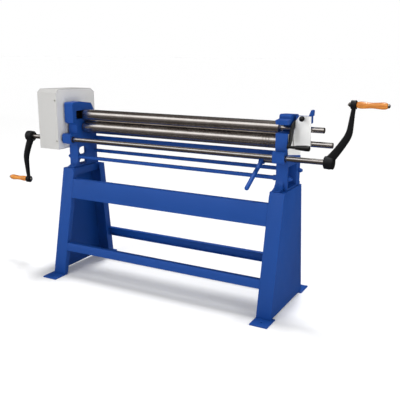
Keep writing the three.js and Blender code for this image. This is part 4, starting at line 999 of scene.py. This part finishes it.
world = bpy.data.worlds.new("white_room")
bpy.context.scene.world = world
world.use_nodes = True
tree = world.node_tree
seen = add(tree, "ShaderNodeLightPath")
either = add(tree, "ShaderNodeMath",
             links={0: seen.outputs["Is Camera Ray"], 1: seen.outputs["Is Glossy Ray"]}, operation="MAXIMUM")
strength = add(tree, "ShaderNodeMapRange", {"To Min": WORLD_STRENGTH, "To Max": 1.0},
               {"Value": either.outputs["Value"]})
tree.nodes["Background"].inputs["Color"].default_value = linear("#ffffff")
tree.links.new(strength.outputs["Result"], tree.nodes["Background"].inputs["Strength"])

BOARD_HALF = 9.0
REAR_PLACE = 5.0
FRONT_PLACE = -7.0
RIGHT_PLACE = 8.0
FLOOR_BOARD_RISE = 0.004
FRONT_STEP = 2.9
FRONT_TOP = 4.4
RIGHT_TOP = 3.2
CEILING = 4.6
SOFT_BOX_Y = (-6.2, -2.1)
SOFT_BOX_STRENGTH = 1.7
UPPER_BOARD_FRONT = -1.9


def board(name, colour, corners, strength=1.0):
    """A flat board that only mirror-like reflections see."""
    mesh = bpy.data.meshes.new(name)
    mesh.from_pydata(corners, [], [(0, 1, 2, 3)])
    card = bpy.data.objects.new(name, mesh)
    bpy.context.collection.objects.link(card)
    material, tree, shader, place = new_material(f"{name}_cloth")
    shader.inputs["Base Color"].default_value = linear("#000000")
    shader.inputs["Specular IOR Level"].default_value = 0.0
    shader.inputs["Emission Color"].default_value = linear(colour)
    shader.inputs["Emission Strength"].default_value = strength
    mesh.materials.append(material)
    card.visible_camera = False
    card.visible_diffuse = False
    card.visible_shadow = False
    card.visible_transmission = False
    card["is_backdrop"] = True


def upright(y, low_edge, high_edge):
    """Corners of a board that stands across the machine at that depth, from one height to another."""
    return [(-BOARD_HALF, y, low_edge), (BOARD_HALF, y, low_edge), (BOARD_HALF, y, high_edge),
            (-BOARD_HALF, y, high_edge)]


def level(z, front_edge, rear_edge):
    """Corners of a board that lies level at that height, from one depth to another."""
    return [(-BOARD_HALF, front_edge, z), (BOARD_HALF, front_edge, z), (BOARD_HALF, rear_edge, z),
            (-BOARD_HALF, rear_edge, z)]


board("rear_board", "#221e1b", upright(REAR_PLACE, 0, CEILING))
board("floor_board", "#4e4a48", level(FLOOR_BOARD_RISE, -BOARD_HALF, REAR_PLACE))
board("front_board", "#7a7572", upright(FRONT_PLACE, 0, FRONT_STEP))
board("front_upper_board", "#bcb6b2", upright(FRONT_PLACE, FRONT_STEP, FRONT_TOP))
board("soft_box", "#ffffff", level(CEILING, *SOFT_BOX_Y), SOFT_BOX_STRENGTH)
board("right_board", "#302e2e",
      [(RIGHT_PLACE, FRONT_PLACE, 0), (RIGHT_PLACE, REAR_PLACE, 0), (RIGHT_PLACE, REAR_PLACE, RIGHT_TOP),
       (RIGHT_PLACE, FRONT_PLACE, RIGHT_TOP)])
board("upper_board", "#514b48", level(CEILING, UPPER_BOARD_FRONT, REAR_PLACE))

SUN_LEVEL = 0.69
SUN_ANGLE = math.radians(10)
SUN_TOWARDS = (0.05, -0.23, -1.0)
FRONT_LAMP_PLACE = (-1.2, -3.8, 2.2)
LAMP_AIM = (0.0, 0.0, 0.6)
LAMP_SIZE = 2.6
FRONT_LAMP_WATTS = 72
RIGHT_LAMP_PLACE = (4.0, -0.8, 2.0)
RIGHT_LAMP_WATTS = 50

sun = bpy.data.objects.new("high_sun", bpy.data.lights.new("high_sun", "SUN"))
sun.data.energy = SUN_LEVEL * math.pi
sun.data.angle = SUN_ANGLE
sun.rotation_euler = Vector(SUN_TOWARDS).to_track_quat("-Z", "Y").to_euler()
bpy.context.collection.objects.link(sun)
for name, place, watts in (("front_lamp", FRONT_LAMP_PLACE, FRONT_LAMP_WATTS),
                           ("right_lamp", RIGHT_LAMP_PLACE, RIGHT_LAMP_WATTS)):
    lamp = bpy.data.objects.new(name, bpy.data.lights.new(name, "AREA"))
    lamp.data.shape = "SQUARE"
    lamp.data.size = LAMP_SIZE
    lamp.data.energy = watts
    lamp.visible_glossy = False
    lamp.location = place
    lamp.rotation_euler = (Vector(LAMP_AIM) - Vector(place)).to_track_quat("-Z", "Y").to_euler()
    bpy.context.collection.objects.link(lamp)

bpy.context.scene.view_settings.view_transform = "Standard"

low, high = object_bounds()
